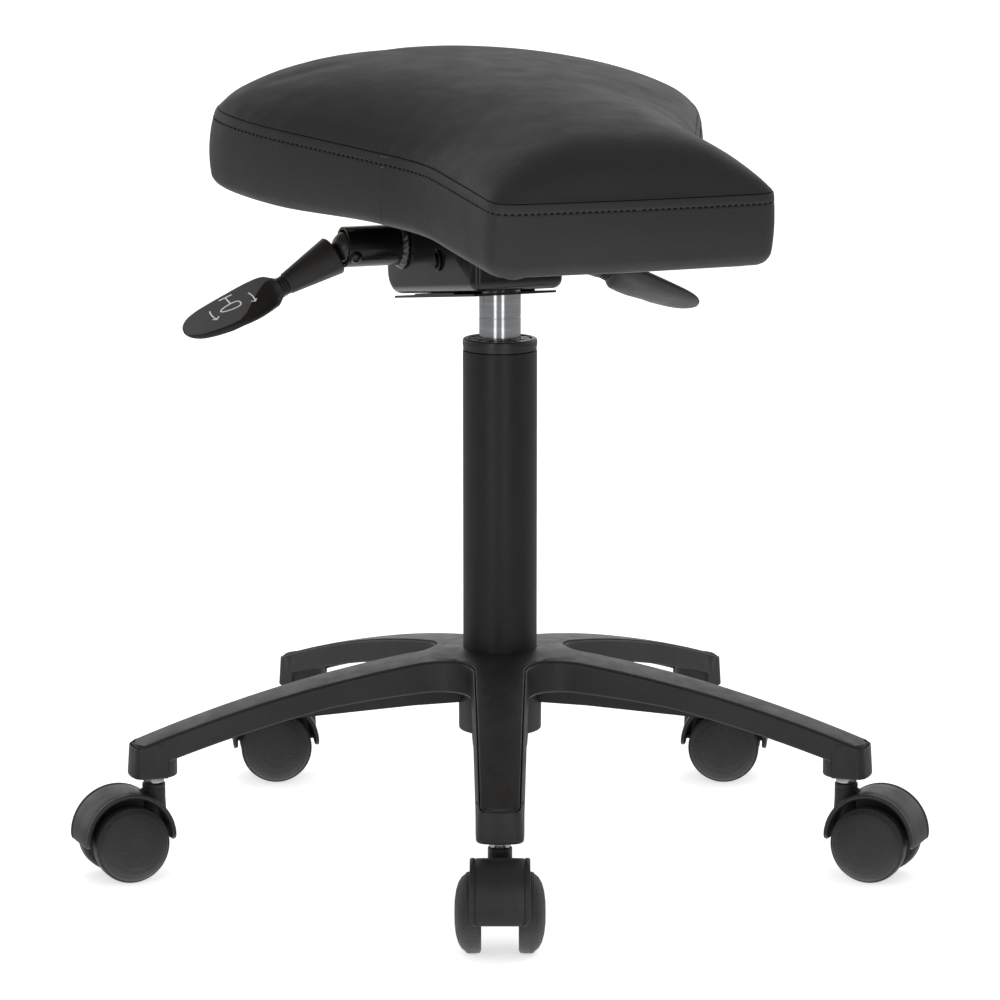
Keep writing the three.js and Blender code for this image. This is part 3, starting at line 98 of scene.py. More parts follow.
def relief(tree, texture, scale, place, long_place):
    """Height of one texture: noise, turned rings or rounded cells."""
    if texture == "noise":
        return noise(tree, long_place, scale, 3.0)
    if texture == "rings":
        made = node(tree, "ShaderNodeTexWave", Scale=scale, Distortion=1.5, Detail=3.0)
        made.wave_type, made.bands_direction = "BANDS", "Z"
        result = made.outputs["Fac"]
    else:
        made = node(tree, "ShaderNodeTexVoronoi", Scale=scale, Randomness=0.9)
        made.feature = "SMOOTH_F1"
        result = made.outputs["Distance"]
    tree.links.new(place, made.inputs["Vector"])
    return result


def surface(name, dark, light, rough, bumps, metal=0.0, spec=0.5, clouds=22.0, wear=90.0, squeeze=(1, 1, 1)):
    """Colour clouds between dark and light, roughness patches and stacked bumps.
    bumps are (texture, scale per metre, depth in mm)."""
    mat = bpy.data.materials.new(name)
    mat.use_nodes = True
    tree = mat.node_tree
    shader = tree.nodes["Principled BSDF"]
    shader.inputs["Metallic"].default_value = metal
    shader.inputs["Specular IOR Level"].default_value = spec
    place = node(tree, "ShaderNodeTexCoord").outputs["Object"]
    long_place = stretched(tree, place, squeeze)
    tint = node(tree, "ShaderNodeMix", data_type="RGBA")
    tint.inputs[6].default_value = (*dark, 1)
    tint.inputs[7].default_value = (*light, 1)
    tree.links.new(ranged(tree, noise(tree, long_place, clouds), 0, 1), tint.inputs[0])
    tree.links.new(tint.outputs[2], shader.inputs["Base Color"])
    patches = ranged(tree, noise(tree, long_place, wear, 6.0), rough[0], rough[1])
    tree.links.new(patches, shader.inputs["Roughness"])
    target = None
    for texture, scale, depth in bumps:
        bump = node(tree, "ShaderNodeBump", Strength=1.0, Distance=depth * MM)
        tree.links.new(relief(tree, texture, scale, place, long_place), bump.inputs["Height"])
        if target:
            tree.links.new(target, bump.inputs["Normal"])
        target = bump.outputs["Normal"]
    tree.links.new(target, shader.inputs["Normal"])
    return mat


def grey(low, high):
    return (low, low, low * 1.04), (high, high, high * 1.04)


NYLON = surface("moulded_nylon", *grey(0.010, 0.016), (0.38, 0.5),
                [("noise", 1100, 0.11), ("noise", 90, 0.05)], spec=0.36)
WHEEL = surface("textured_nylon", *grey(0.012, 0.018), (0.46, 0.6),
                [("cells", 900, 0.3), ("noise", 1600, 0.1), ("noise", 300, 0.06)], spec=0.4)
BUSH = surface("bush_acetal", *grey(0.007, 0.011), (0.26, 0.38), [("noise", 700, 0.02)], spec=0.4)
GRIP = surface("handle_polypropylene", *grey(0.007, 0.011), (0.36, 0.5),
               [("cells", 1300, 0.1), ("noise", 240, 0.04)], spec=0.3)
# Painted light: the blade's flat lid is a lighter grey than the grip's black plastic, standing in for the
# light that falls on its top face.
PAINTED_LIT_LID = surface("handle_lid_painted_lit", *grey(0.055, 0.07), (0.42, 0.55),
              [("noise", 900, 0.04), ("cells", 1300, 0.05)], spec=0.5)
COLUMN = surface("powder_coat", *grey(0.007, 0.01), (0.36, 0.46),
                 [("noise", 1200, 0.03), ("noise", 160, 0.03)], spec=0.26)
ENAMEL = surface("stove_enamel", *grey(0.003, 0.006), (0.14, 0.24), [("noise", 420, 0.02)], spec=0.27)
BLACKENED = surface("blackened_steel", *grey(0.025, 0.05), (0.2, 0.32), [("noise", 500, 0.03)], metal=1.0)
WELD = surface("welded_enamel", *grey(0.003, 0.007), (0.16, 0.34),
               [("noise", 330, 0.5), ("noise", 1100, 0.12)], spec=0.5)
CHROME = surface("ground_chrome", (0.37, 0.38, 0.39), (0.47, 0.48, 0.49), (0.14, 0.21),
                 [("rings", 900, 0.003), ("noise", 60, 0.01)], metal=1.0, squeeze=(1, 1, 14))
STEEL = surface("zinc_plate", (0.4, 0.41, 0.42), (0.55, 0.56, 0.57), (0.25, 0.42),
                [("noise", 500, 0.03)], metal=1.0)
BOARD = surface("birch_ply", (0.24, 0.16, 0.09), (0.42, 0.31, 0.2), (0.6, 0.8),
                [("noise", 120, 0.15)], squeeze=(1, 9, 30), clouds=30)
VINYL = surface("black_leather", *grey(0.012, 0.016), (0.5, 0.6),
                [("noise", 16, 0.22), ("cells", 640, 0.16), ("noise", 1700, 0.08)],
                spec=0.31, clouds=9, wear=45)
# Painted shade: a near-black material for the faces of the seam's crease, standing in for the shadow that
# falls in the crease.
PAINTED_SEAM_SHADE = surface("painted_seam_shade", *grey(0.002, 0.003), (0.7, 0.8), [("noise", 1500, 0.03)], spec=0.1)
THREAD = surface("black_thread", *grey(0.002, 0.003), (0.6, 0.75), [("noise", 2400, 0.1)], spec=0.12)
PALE_THREAD = surface("pale_thread", *grey(0.16, 0.3), (0.55, 0.7), [("noise", 2400, 0.1)], spec=0.3)
INK = surface("white_ink", *grey(0.72, 0.85), (0.5, 0.65), [("noise", 900, 0.02)])
FLOOR = surface("pale_floor", (0.86, 0.86, 0.86), (0.88, 0.88, 0.88), (0.75, 0.85),
                [("noise", 40, 0.1)], spec=0.1, clouds=0.6)


# Mesh making
def shift(x, y, z):
    return Matrix.Translation((x, y, z))


def turned(angle, axis):
    return Matrix.Rotation(angle, 4, axis)


def moved(points, m):
    points = np.asarray(points, float).reshape(-1, 3)
    a = np.array(m, float)
    return points @ a[:3, :3].T + a[:3, 3]


class Build:
    """Collects points and faces of one mesh, with a material number for each face."""

    def __init__(self):
        self.points, self.faces, self.kinds = [], [], []
        self.count = 0

    def add(self, points, faces, kind=0, m=None):
        points = moved(points, m) if m is not None else np.asarray(points, float).reshape(-1, 3)
        self.points.append(points)
        self.faces += [tuple(int(i) + self.count for i in f) for f in faces]
        self.kinds += [kind] * len(faces)
        self.count += len(points)
        return self

    def skin(self, rings, wrap=True, kind=0, m=None):
        """Faces between neighbouring rings of points, closed around when wrap is set."""
        rings = np.asarray(rings, float)
        rows, across = rings.shape[:2]
        faces = []
        for i in range(rows - 1):
            for j in range(across if wrap else across - 1):
                k = (j + 1) % across
                faces.append((i * across + j, i * across + k, (i + 1) * across + k, (i + 1) * across + j))
        return self.add(rings.reshape(-1, 3), faces, kind, m)

    def lathe(self, profile, m=None, axis="z", steps=72, kind=0, wobble=None):
        """A profile of (radius, height) turned about an axis."""
        rings = []
        for r, h in profile:
            a = np.arange(steps) * 2 * PI / steps
            rr = r * (1 + (wobble(a, h) if wobble and r > 0 else 0 * a))
            x, y, z = rr * np.cos(a), rr * np.sin(a), np.full(steps, float(h))
            rings.append({"z": np.c_[x, y, z], "x": np.c_[z, x, y], "y": np.c_[y, z, x]}[axis])
        return self.skin(rings, True, kind, m)

    def pull(self, outline, low, high, m=None):
        """A closed (x, z) outline pulled along Y, with flat ends."""
        outline = np.asarray(outline, float)
        n = len(outline)
        ends = [np.c_[outline[:, 0], np.full(n, float(v)), outline[:, 1]] for v in (low, high)]
        faces = [(j, (j + 1) % n, n + (j + 1) % n, n + j) for j in range(n)]
        faces += [tuple(range(n - 1, -1, -1)), tuple(range(n, 2 * n))]
        return self.add(np.vstack(ends), faces, 0, m)


def fillet(corners, steps=5):
    """A line through (x, y, radius) corners, each rounded off."""
    out = []
    for i, (x, y, r) in enumerate(corners):
        p = np.array([x, y], float)
        if r <= 0 or i in (0, len(corners) - 1):
            out.append(p)
            continue
        a = np.array(corners[i - 1][:2], float) - p
        b = np.array(corners[i + 1][:2], float) - p
        la, lb = length(a), length(b)
        a, b = a / la, b / lb
        half = math.acos(max(-0.9999, min(0.9999, float(a @ b)))) / 2
        reach = min(r / math.tan(half), la * 0.49, lb * 0.49)
        start, end = p + a * reach, p + b * reach
        out += [arc(start, p, end, k / steps) for k in range(steps + 1)]
    return [tuple(q) for q in out]


def linked(name, data):
    obj = bpy.data.objects.new(name, data)
    bpy.context.scene.collection.objects.link(obj)
    return obj


def raw_mesh(name, build, m=None):
    points = np.vstack(build.points)
    mesh = bpy.data.meshes.new(name)
    mesh.from_pydata(((points if m is None else moved(points, m)) * MM).tolist(), [], build.faces)
    return mesh


def cleaned(mesh, merge=0.02 * MM):
    """Joins points that lie together and turns all faces outwards."""
    bm = bmesh.new()
    bm.from_mesh(mesh)
    bmesh.ops.remove_doubles(bm, verts=bm.verts, dist=merge)
    bmesh.ops.recalc_face_normals(bm, faces=bm.faces)
    bm.to_mesh(mesh)
    bm.free()


def finish_mesh(name, build, mats, body, stands_for=None, m=None, sharp=32):
    """Makes the object of a build, rides it on its body and hides the imported node it stands for."""
    mesh = raw_mesh(name, build, m)
    for mat in mats if isinstance(mats, list) else [mats]:
        mesh.materials.append(mat)
    mesh.polygons.foreach_set("material_index", build.kinds)
    cleaned(mesh)
    mesh.polygons.foreach_set("use_smooth", [True] * len(mesh.polygons))
    mesh.set_sharp_from_angle(angle=rad(sharp))
    obj = linked(name, mesh)
    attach(obj, body)
    if stands_for:
        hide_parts(stands_for)
    return obj


# Frames of the turned upper part and of the tilted seat, whose origin lies on the seam's plane
HEAD_TURN, SEAT_TILT, SEAM_Z = rad(22), rad(6.3), 491.9
HEAD = turned(HEAD_TURN, "Z")
SEAT = HEAD @ shift(0, 0, SEAM_Z) @ turned(SEAT_TILT, "X")

# Star base
STEM_CIRCLE, FOOT_Z = 242.5, 67.4
LEG_TIP, FOOT_END = STEM_CIRCLE + 13, STEM_CIRCLE - 6.5
HALF_HUB, HALF_TIP, NOSE_HALF, NOSE_CUT, VALLEY = 16.7, 12.4, 8.5, 5.5, 26.5
LEG_CREST, LEG_SLOPE, LEG_FALL = 140, 0.057, 47.2
SKIRT_HUB, SKIRT_TIP = 22, 16.3
HUB_REACH, HUB_R, HUB_LOW, HUB_TOP = 25.2, 28, 82, 136
BOSS_R, BOSS_HOLE, BOSS_TOP = 14.8, 5.8, 90
RIB_HALF, RIB_LOW, RIB_END, RIB_END_LOW, RIB_COVER = 1.6, 101.8, 160, 98.4, 1.6
CROSS_HALF, CROSS_DEEP = 11, 8.6
FIFTH = PI / 5
VALLEY_HALF = HALF_HUB + VALLEY
VALLEY_X = VALLEY_HALF / math.tan(FIFTH)
LEG_TURNS = [2 * PI * (i / 5 - 1 / 4) for i in range(5)]
CASTERS = dict(zip(["front", "front_right", "rear_right", "rear_left", "front_left"],
                   zip(LEG_TURNS, [rad(a) for a in (-90, -23, -6, 186, 203)])))


def leg_top(r):
    out = r / STEM_CIRCLE
    return LEG_CREST - LEG_SLOPE * r - (LEG_FALL - LEG_SLOPE * STEM_CIRCLE) * out * out


def leg_rows(flare):
    """Rows across a leg along +X from its nose: (place on the centre line, edge x, edge y, kind)."""
    def half(x):
        return lerp(HALF_HUB, HALF_TIP, share(x, VALLEY_X, LEG_TIP)) + flare

    rows = []
    nose = LEG_TIP - NOSE_CUT
    wide = lerp(HALF_HUB, HALF_TIP, share(nose, VALLEY_X, LEG_TIP)) - NOSE_HALF
    for a in np.linspace(0, PI / 2, 7):
        x = nose + (NOSE_CUT + flare) * math.cos(a)
        rows.append((x, x, NOSE_HALF + (wide + flare) * math.sin(a), "foot"))
    for x in np.linspace(nose, FOOT_END, 6)[1:]:
        rows.append((x, x, half(x), "foot"))
    step = 0.4
    for x in np.linspace(FOOT_END - step, VALLEY_X, 26):
        rows.append((x, x, half(x), "leg"))
    turn = PI / 2 - FIFTH
    apex = VALLEY_HALF / math.sin(FIFTH) - (VALLEY - flare)
    for i in range(1, 13):
        a = PI * 1.5 - turn * i / 12
        x = VALLEY_X + (VALLEY - flare) * math.cos(a)
        y = VALLEY_HALF + (VALLEY - flare) * math.sin(a)
        rows.append((lerp(VALLEY_X, apex, i / 12), x, y, "valley"))
    for r in np.linspace(apex, HUB_REACH, 7)[1:]:
        rows.append((r, r * math.cos(FIFTH), r * math.sin(FIFTH), "hub"))
    return rows


def across(row, side):
    """Plan point of a row, from its right edge (-1) over the centre line (0) to its left edge (1)."""
    middle, x, y, kind = row
    if kind in ("foot", "leg"):
        return middle, y * side
    r = lerp(middle, math.hypot(x, y), side * side)
    a = math.atan2(y, x) * side
    return r * math.cos(a), r * math.sin(a)


def leg_section():
    """Points from the top face's edge round the slot and the skirt to the hollow's ceiling:
    flare, what the height is measured from, height."""
    slot = [(-1.3, "top", 0), (-0.75, "top", 0.05), (-0.45, "top", 0.3), (-0.35, "top", 0.9),
            (-0.3, "top", 2.3), (0.1, "top", 2.6), (0.45, "top", 2.3), (0.5, "top", 1.35),
            (0.7, "top", 1.1), (1.05, "top", 1.3), (1.3, "top", 1.8), (1.4, "top", 2.8)]
    wall = [(lerp(1.4, 2.5, t), "wall", t) for t in (0.2, 0.4, 0.6, 0.8, 0.94)]
    edge = [(2.58, "edge", 1.4), (2.42, "edge", 0.6), (2.0, "edge", 0.12), (1.4, "edge", 0),
            (-0.2, "edge", 0), (-0.7, "edge", 0.5)]
    return slot + wall + edge + [(-3.2, "ceiling", 3.2)]


def star_leg():
    section = leg_section()
    grids = [leg_rows(flare) for flare, _, _ in section]
    last = len(section) - 1
    count = len(grids[0])
    slot_end, edge_start, crown, nose_bow = 2.8, 1.4, 0.35, 1.1

    def height(i, level):
        middle, _, _, kind = grids[0][i]
        _, what, value = section[level]
        top = leg_top(middle)
        skirt = lerp(SKIRT_HUB, SKIRT_TIP, share(middle, 41, 125))
        low = FOOT_Z if kind == "foot" else top - skirt
        if what == "top":
            return top - value
        if what == "wall":
            return lerp(top - slot_end, low + edge_start, value)
        if kind == "foot" and level > last - 3:
            return low
        return low + value if what == "edge" else top - value

    def line(i, level, rise=0.0):
        out = []
        for s in np.linspace(-1, 1, 13):
            x, y = across(grids[level][i], s)
            if i == 0:
                x += nose_bow * (1 - s * s)
            out.append((x, y, height(i, level) + rise * (1 - s * s)))
        return out

    build = Build()
    build.skin([line(i, 0, crown) for i in range(count)], False)
    build.skin([line(i, last) for i in range(count)], False)
    skirted = [i for i in range(count) if grids[0][i][3] != "hub"]
    for s in (-1, 1):
        build.skin([[(*across(grids[level][i], s), height(i, level)) for level in range(last + 1)]
                    for i in skirted], False)
    build.skin([line(0, level, crown if level == 0 else 0) for level in range(last + 1)], False)
    return build


def star_base():
    leg = star_leg()
    points = np.vstack(leg.points)
    boss = fillet([(BOSS_HOLE, BOSS_TOP - 2, 0), (BOSS_HOLE, FOOT_Z, 0.5), (BOSS_R, FOOT_Z, 1.3),
                   (BOSS_R, BOSS_TOP, 0)])
    rib = [(24, RIB_LOW), (62, RIB_LOW), (RIB_END, RIB_END_LOW)]
    rib += [(r, leg_top(r) - RIB_COVER) for r in (RIB_END, 92, 24)]
    cross_top, cross_low = leg_top(RIB_END) - RIB_COVER, leg_top(RIB_END) - CROSS_DEEP
    near, far = RIB_END - RIB_HALF, RIB_END + RIB_HALF
    cross = [(near, cross_low), (far, cross_low), (far, cross_top), (near, cross_top)]
    build = Build()
    for turn in LEG_TURNS:
        m = turned(turn, "Z")
        build.add(points, leg.faces, 0, m)
        build.lathe(boss, m @ shift(STEM_CIRCLE - 1, 0, 0), steps=48)
        build.pull(rib, -RIB_HALF, RIB_HALF, m)
        build.pull(cross, -CROSS_HALF, CROSS_HALF, m)
    inner = HUB_REACH - 0.6
    hub = fillet([(inner, HUB_TOP - 2, 0), (inner, HUB_LOW, 0.4), (HUB_R, HUB_LOW, 1.2),
                  (HUB_R + 0.4, HUB_TOP, 0)])
    build.lathe(hub, steps=96)
    finish_mesh("star_base_moulding", build, NYLON, "base", "star_base", sharp=34)


star_base()

# Gas lift
COLUMN_R, COLUMN_BORE, COLUMN_LOW, COLUMN_FLOOR, COLUMN_TOP = 25, 23.1, 69.1, 71.4, 341.9
ROD_HOLE = 5.4
BUSH_BORE, BUSH_SLEEVE_R, BUSH_LOW, BUSH_TOP = 14.4, 22.6, 281, 349.9
CAP_R, CAP_NECK_R, CAP_LOW, CAP_TOP = 25.1, 24.8, 342.7, 350.2
TUBE_R, TUBE_BORE, TUBE_LOW, TUBE_TOP, TUBE_TAPER = 14, 11.9, 94.1, 412.8, 385
TUBE_GROOVE, GROOVE_DEEP = (364.3, 365.4), 0.25
BUTTON_HOLE, BUTTON_FLOOR = 4.4, 405.2


def column():
    seat = leg_top(COLUMN_R)
    profile = fillet([(ROD_HOLE, COLUMN_LOW, 0), (18.6, COLUMN_LOW, 0.8), (19.4, 78.6, 2), (24.1, 83, 0.8),
                      (24.2, 90, 0), (COLUMN_R, seat, 0), (COLUMN_R, 150, 0), (COLUMN_R, COLUMN_TOP, 0.25),
                      (23.3, COLUMN_TOP, 0.2), (COLUMN_BORE, seat, 0), (17.7, COLUMN_FLOOR, 0),
                      (ROD_HOLE, COLUMN_FLOOR, 0), (ROD_HOLE, COLUMN_LOW, 0)])
    finish_mesh("column_outer", Build().lathe(profile, steps=128), COLUMN, "base", "column_tube",
                m=HEAD)


def guide_bush():
    profile = fillet([(BUSH_BORE, BUSH_LOW, 0), (BUSH_SLEEVE_R, BUSH_LOW, 0.3), (BUSH_SLEEVE_R, CAP_LOW, 0),
                      (CAP_NECK_R, CAP_LOW, 0.3), (CAP_NECK_R, 345.3, 0), (CAP_R, 345.5, 0.15),
                      (CAP_R, CAP_TOP, 3.2), (21.7, CAP_TOP, 0.5), (21.5, 349.1, 0.1), (20.6, 349.1, 0.1),
                      (20.5, 349.8, 0.2), (16.4, 349.6, 0), (16.2, BUSH_TOP, 0.1), (BUSH_BORE, BUSH_TOP, 0.25),
                      (BUSH_BORE, BUSH_LOW, 0)], 6)
    build = Build().lathe(profile, steps=144)
    points = build.points[0]
    r, a = np.hypot(points[:, 0], points[:, 1]), np.arctan2(points[:, 1], points[:, 0])
    crown = (r > 15.6) & (r < 20.7) & (points[:, 2] > 349.3)
    notches, notch_share, notch_deep = 12, 0.12, 1.5
    notch = np.abs(((a * notches / (2 * PI)) % 1) - 0.5) < notch_share
    points[crown & notch, 2] -= notch_deep
    finish_mesh("guide_bush_cap", build, BUSH, "base", "guide_bush", m=HEAD, sharp=28)


def centre_punch():
    """Two small punch marks that hold the bush, on the column's left side."""
    dimples = Build()
    for z in (336.6, 338.6):
        at = shift(-24.6, -4.4, z) @ turned(rad(-100), "Y")
        dimples.lathe([(0, 0.12), (0.55, 0.1), (0.7, 0), (0.7, -0.5)], at, steps=16)
    finish_mesh("column_centre_punch", dimples, BUSH, "base", None)


def pressure_tube():
    low, high = TUBE_GROOVE
    groove_r = TUBE_R - GROOVE_DEEP
    profile = fillet([(ROD_HOLE, TUBE_LOW, 0), (TUBE_R, TUBE_LOW, 0.5), (TUBE_R, low - 1.1, 0),
                      (TUBE_R, low, 0), (groove_r, low + 0.2, 0), (groove_r, high - 0.2, 0), (TUBE_R, high, 0),
                      (TUBE_R, high + 1.1, 0), (TUBE_R, TUBE_TAPER, 0), (13.3, TUBE_TOP, 0.6),
                      (BUTTON_HOLE, TUBE_TOP, 0.3), (BUTTON_HOLE, BUTTON_FLOOR, 0), (0, BUTTON_FLOOR, 0)])
    profile += [(0, 396), (TUBE_BORE, 396), (TUBE_BORE, 103), (ROD_HOLE, 103), (ROD_HOLE, TUBE_LOW)]
    finish_mesh("pressure_tube_ground", Build().lathe(profile, steps=128), CHROME, "mechanism",
                "pressure_tube", m=HEAD, sharp=16)


column()
guide_bush()
centre_punch()
pressure_tube()

# Casters
AXLE_Z, TRAIL = 25.5, 21.5
HOOD_LIFT, HOOD_BORE_R, HOOD_WALL_R = 3, 27.8, 29.4
HOOD_FROM, HOOD_TO = rad(-7), rad(184.6)
WEB_R, WEB_HALF = 29, 2.2
AXLE_BOSS_R, AXLE_BOSS_HALF = 6.5, 11.1
NECK_R, NECK_LOW, NECK_TOP = 7.7, 52, 62.3
STEM_R, STEM_LOW, STEM_TOP, COLLAR_R = 5.4, 42.1, 86, 6.9
WHEEL_R, WHEEL_FACE, WHEEL_HUB_R, WHEEL_FROM = 25.5, 0.3, 3.3, 11.45


def hood_shell(build, centre):
    """The arched cover over both wheels, with a raised rim along each side, thinned at both ends."""
    rim = [(15.2, HOOD_BORE_R), (17.6, HOOD_BORE_R), (18.2, 28.2), (18.75, 29.2), (18.9, 30.2), (18.6, 30.85),
           (17.9, 31.1), (16.0, 31.1), (15.7, 30.9), (15.55, 30.45), (15.2, 30.45), (15.05, 30.8),
           (14.4, 30.95), (9, 31.05), (4, 31.05), (0, 31.05)]
    profile = [(-y, r) for y, r in rim] + [(y, r) for y, r in reversed(rim[:-1])]
    profile += [(y, HOOD_BORE_R) for y in (9.0, 0.0, -9.0)]
    ends = 0.09
    angles = np.r_[np.linspace(HOOD_FROM, HOOD_FROM + ends, 7),
                   np.linspace(HOOD_FROM + 0.12, HOOD_TO - 0.12, 60),
                   np.linspace(HOOD_TO - ends, HOOD_TO, 7)]
    corner, narrow, thinning = 4.2, 0.16, 0.9
    rings = []
    for a in angles:
        edge = min(a - HOOD_FROM, HOOD_TO - a) * 29.5
        width = 1 - narrow * (1 - min(1.0, edge / corner)) ** 2
        full = min(1.0, (0.3 + edge / thinning))
        ring = []
        for y, r in profile:
            r = lerp(HOOD_WALL_R, r, full)
            ring.append((r * math.cos(a), y * width, r * math.sin(a)))
        rings.append(ring)
    lip = (1 - narrow) * 0.9
    lips = [[(HOOD_WALL_R * math.cos(a), y * lip, HOOD_WALL_R * math.sin(a)) for y, _ in profile]
            for a in (HOOD_FROM - 0.002, HOOD_TO + 0.002)]
    build.skin([lips[0]] + rings + [lips[1]], True, 0, centre)


def caster_hood():
    build = Build()
    centre = shift(TRAIL, 0, AXLE_Z + HOOD_LIFT)
    hood_shell(build, centre)
    web = [(WEB_R * math.cos(a), WEB_R * math.sin(a)) for a in np.linspace(rad(-2), rad(181), 40)]
    web += [(0, -2)]
    build.pull(web, -WEB_HALF, WEB_HALF, centre)
    boss = fillet([(0, -AXLE_BOSS_HALF, 0), (AXLE_BOSS_R, -AXLE_BOSS_HALF, 0.6),
                   (AXLE_BOSS_R, AXLE_BOSS_HALF, 0.6), (0, AXLE_BOSS_HALF, 0)])
    build.lathe(boss, shift(TRAIL, 0, AXLE_Z), "y", 40)
    neck = fillet([(5.8, 42, 0), (5.8, NECK_TOP, 0.3), (7.2, NECK_TOP, 0.4), (NECK_R, 61.6, 0.3),
                   (NECK_R, 59.4, 0.15), (7.45, 59.2, 0.1), (7.45, 58.7, 0.1), (NECK_R, 58.5, 0.15),
                   (NECK_R, NECK_LOW, 0), (8.3, 40, 0), (8.3, 31, 0)])
    build.lathe(neck, steps=56)
    gusset = []
    for t in np.linspace(0, 1, 9):
        z = lerp(60.0, 56.9, t)
        reach = 7.2 + 6.6 * t ** 2.2
        gusset.append([(5.0, -2.6, z), (reach - 1.2, -2.4, z), (reach, -1.2, z),
                       (reach, 1.2, z), (reach - 1.2, 2.4, z), (5.0, 2.6, z)])
    build.skin(gusset, True)
    return build


def caster_wheel():
    """Turned about Y from its inner face outwards."""
    profile = fillet([(WHEEL_HUB_R, 1.6, 0), (WHEEL_HUB_R, WHEEL_FACE, 0), (23.6, WHEEL_FACE, 0.8),
                      (25.2, 1.1, 1.1), (WHEEL_R, 4.2, 3), (WHEEL_R, 8.2, 2), (24.9, 9.8, 0.5),
                      (24.45, 9.95, 0.12), (24.3, 9.75, 0.1), (24.05, 10.3, 0.5), (22.2, 12.6, 3),
                      (18.6, 14.7, 5), (13.4, 16.2, 6), (7, 16.95, 6), (0, 17.1, 0)])
    return Build().lathe([(0, 1.6)] + profile, axis="y", steps=96)


def casters():
    hood, wheel = caster_hood(), caster_wheel()
    stem = fillet([(0, STEM_LOW, 0), (STEM_R, STEM_LOW, 0.8), (STEM_R, 62.65, 0), (COLLAR_R, 62.65, 0.35),
                   (COLLAR_R, 66.9, 0.4), (STEM_R, 66.9, 0), (STEM_R, STEM_TOP, 0.8), (0, STEM_TOP, 0)])
    for name, (leg, trail) in CASTERS.items():
        stand = shift(STEM_CIRCLE * math.cos(leg), STEM_CIRCLE * math.sin(leg), 0) @ turned(trail, "Z")
        body = name + "_caster"
        finish_mesh(name + "_hood_moulding", hood, NYLON, body, name + "_hood", m=stand, sharp=38)
        finish_mesh(name + "_stem_turned", Build().lathe(stem, steps=40), CHROME, body, name + "_stem",
                    m=stand)
        for hand, flip in (("left", 0), ("right", PI)):
            at = stand @ shift(TRAIL, 0, AXLE_Z) @ turned(flip, "Z") @ shift(0, WHEEL_FROM, 0)
            part = name + "_wheel_" + hand
            finish_mesh(part + "_moulding", wheel, WHEEL, part, part, m=at, sharp=40)


casters()

# Seat mechanism, in the head's frame with +Y to the rear
PAN_HALF, PAN_FRONT, PAN_REAR, PAN_TOP, PAN_LOW = 32.7, -34, 132, 426.9, 382.2
PAN_SLOPE = rad(7.3)
PAN_FRONT_R, PAN_REAR_R, PAN_EDGE_R, PAN_WALL, PAN_MIDDLE = 6.8, 16, 6, 2.5, 45
SOCKET_HOLE, PIVOT_HOLE, LEVER_HOLE, ROCKER_HOLE = 14.6, 5.3, 12.0, 2.7
PIVOT, LEVER, ROCKER = (30.5, 400.5), (98.7, 403.8), (-19, 421.6)
LEVER_TUBE_R, LEVER_TUBE_BORE, LEVER_TUBE_FROM, LEVER_TUBE_TO = 14, 12.1, 33.1, 75.9
PIN_X, PIN_R, PIN_HEAD_R, PIN_TOP, PIN_ROLL = 71, 2.5, 4.4, 16.6, rad(25)
SNAP_R, SNAP_FROM, SNAP_TO = 7.5, 33.05, 34.5


def pan_bottom(y):
    return PAN_LOW - y * math.tan(PAN_SLOPE)


def pan_shell(inset):
    """Right half of the pressed housing's skin, open at the top, pulled in by an inset: rings from the
    middle of the flat side, round the bottom edge's rounding, to the middle plane."""
    down = -PI / 2 - PAN_SLOPE
    front_y, rear_y = PAN_FRONT + PAN_FRONT_R, PAN_REAR - PAN_REAR_R
    front = (front_y, pan_bottom(front_y) + PAN_FRONT_R / math.cos(PAN_SLOPE))
    rear = (rear_y, pan_bottom(rear_y) + PAN_REAR_R / math.cos(PAN_SLOPE))

    def outline(x, drawn):
        points = [(x, PAN_FRONT + drawn, z) for z in np.linspace(PAN_TOP, front[1] + 1, 5)]
        for (cy, cz), radius, start, end in ((front, PAN_FRONT_R, -PI, down), (rear, PAN_REAR_R, down, 0)):
            for a in np.linspace(start, end, 9):
                points.append((x, cy + (radius - drawn) * math.cos(a), cz + (radius - drawn) * math.sin(a)))
        return points + [(x, PAN_REAR - drawn, z) for z in np.linspace(rear[1] + 1, PAN_TOP, 5)]

    edge = PAN_EDGE_R - inset
    half = [outline(PAN_HALF - PAN_EDGE_R + edge * math.cos(a), inset + edge * (1 - math.sin(a)))
            for a in np.linspace(0, PI / 2, 8)]
    flat = [[(x, lerp(PAN_MIDDLE, y, t), lerp(PAN_TOP, z, t)) for x, y, z in half[0]] for t in (0.0, 0.5)]
    return flat + half


def housing():
    build = Build()
    outer, inner = pan_shell(0.0), pan_shell(PAN_WALL)
    for side in (outer, inner):
        left = [[(-x, y, z) for x, y, z in ring] for ring in side]
        build.skin(left + side[::-1], False)
    for pick in (0, -1):
        for hand in (1, -1):
            rims = [[(hand * ring[pick][0], *ring[pick][1:]) for ring in side] for side in (outer, inner)]
            build.skin(rims, False)
        build.skin([[(hand * side[-1][pick][0], *side[-1][pick][1:]) for hand in (-1, 1)]
                    for side in (outer, inner)], False)
    return build


def bead(a, h):
    """Unevenness of a weld around the tube."""
    return 0.034 * np.sin(a * 9 + 0.7) * np.sin(a * 5 + 2.1) + 0.02 * np.sin(a * 23 + h)


def evaluated(obj):
    return bpy.data.meshes.new_from_object(obj.evaluated_get(bpy.context.evaluated_depsgraph_get()))


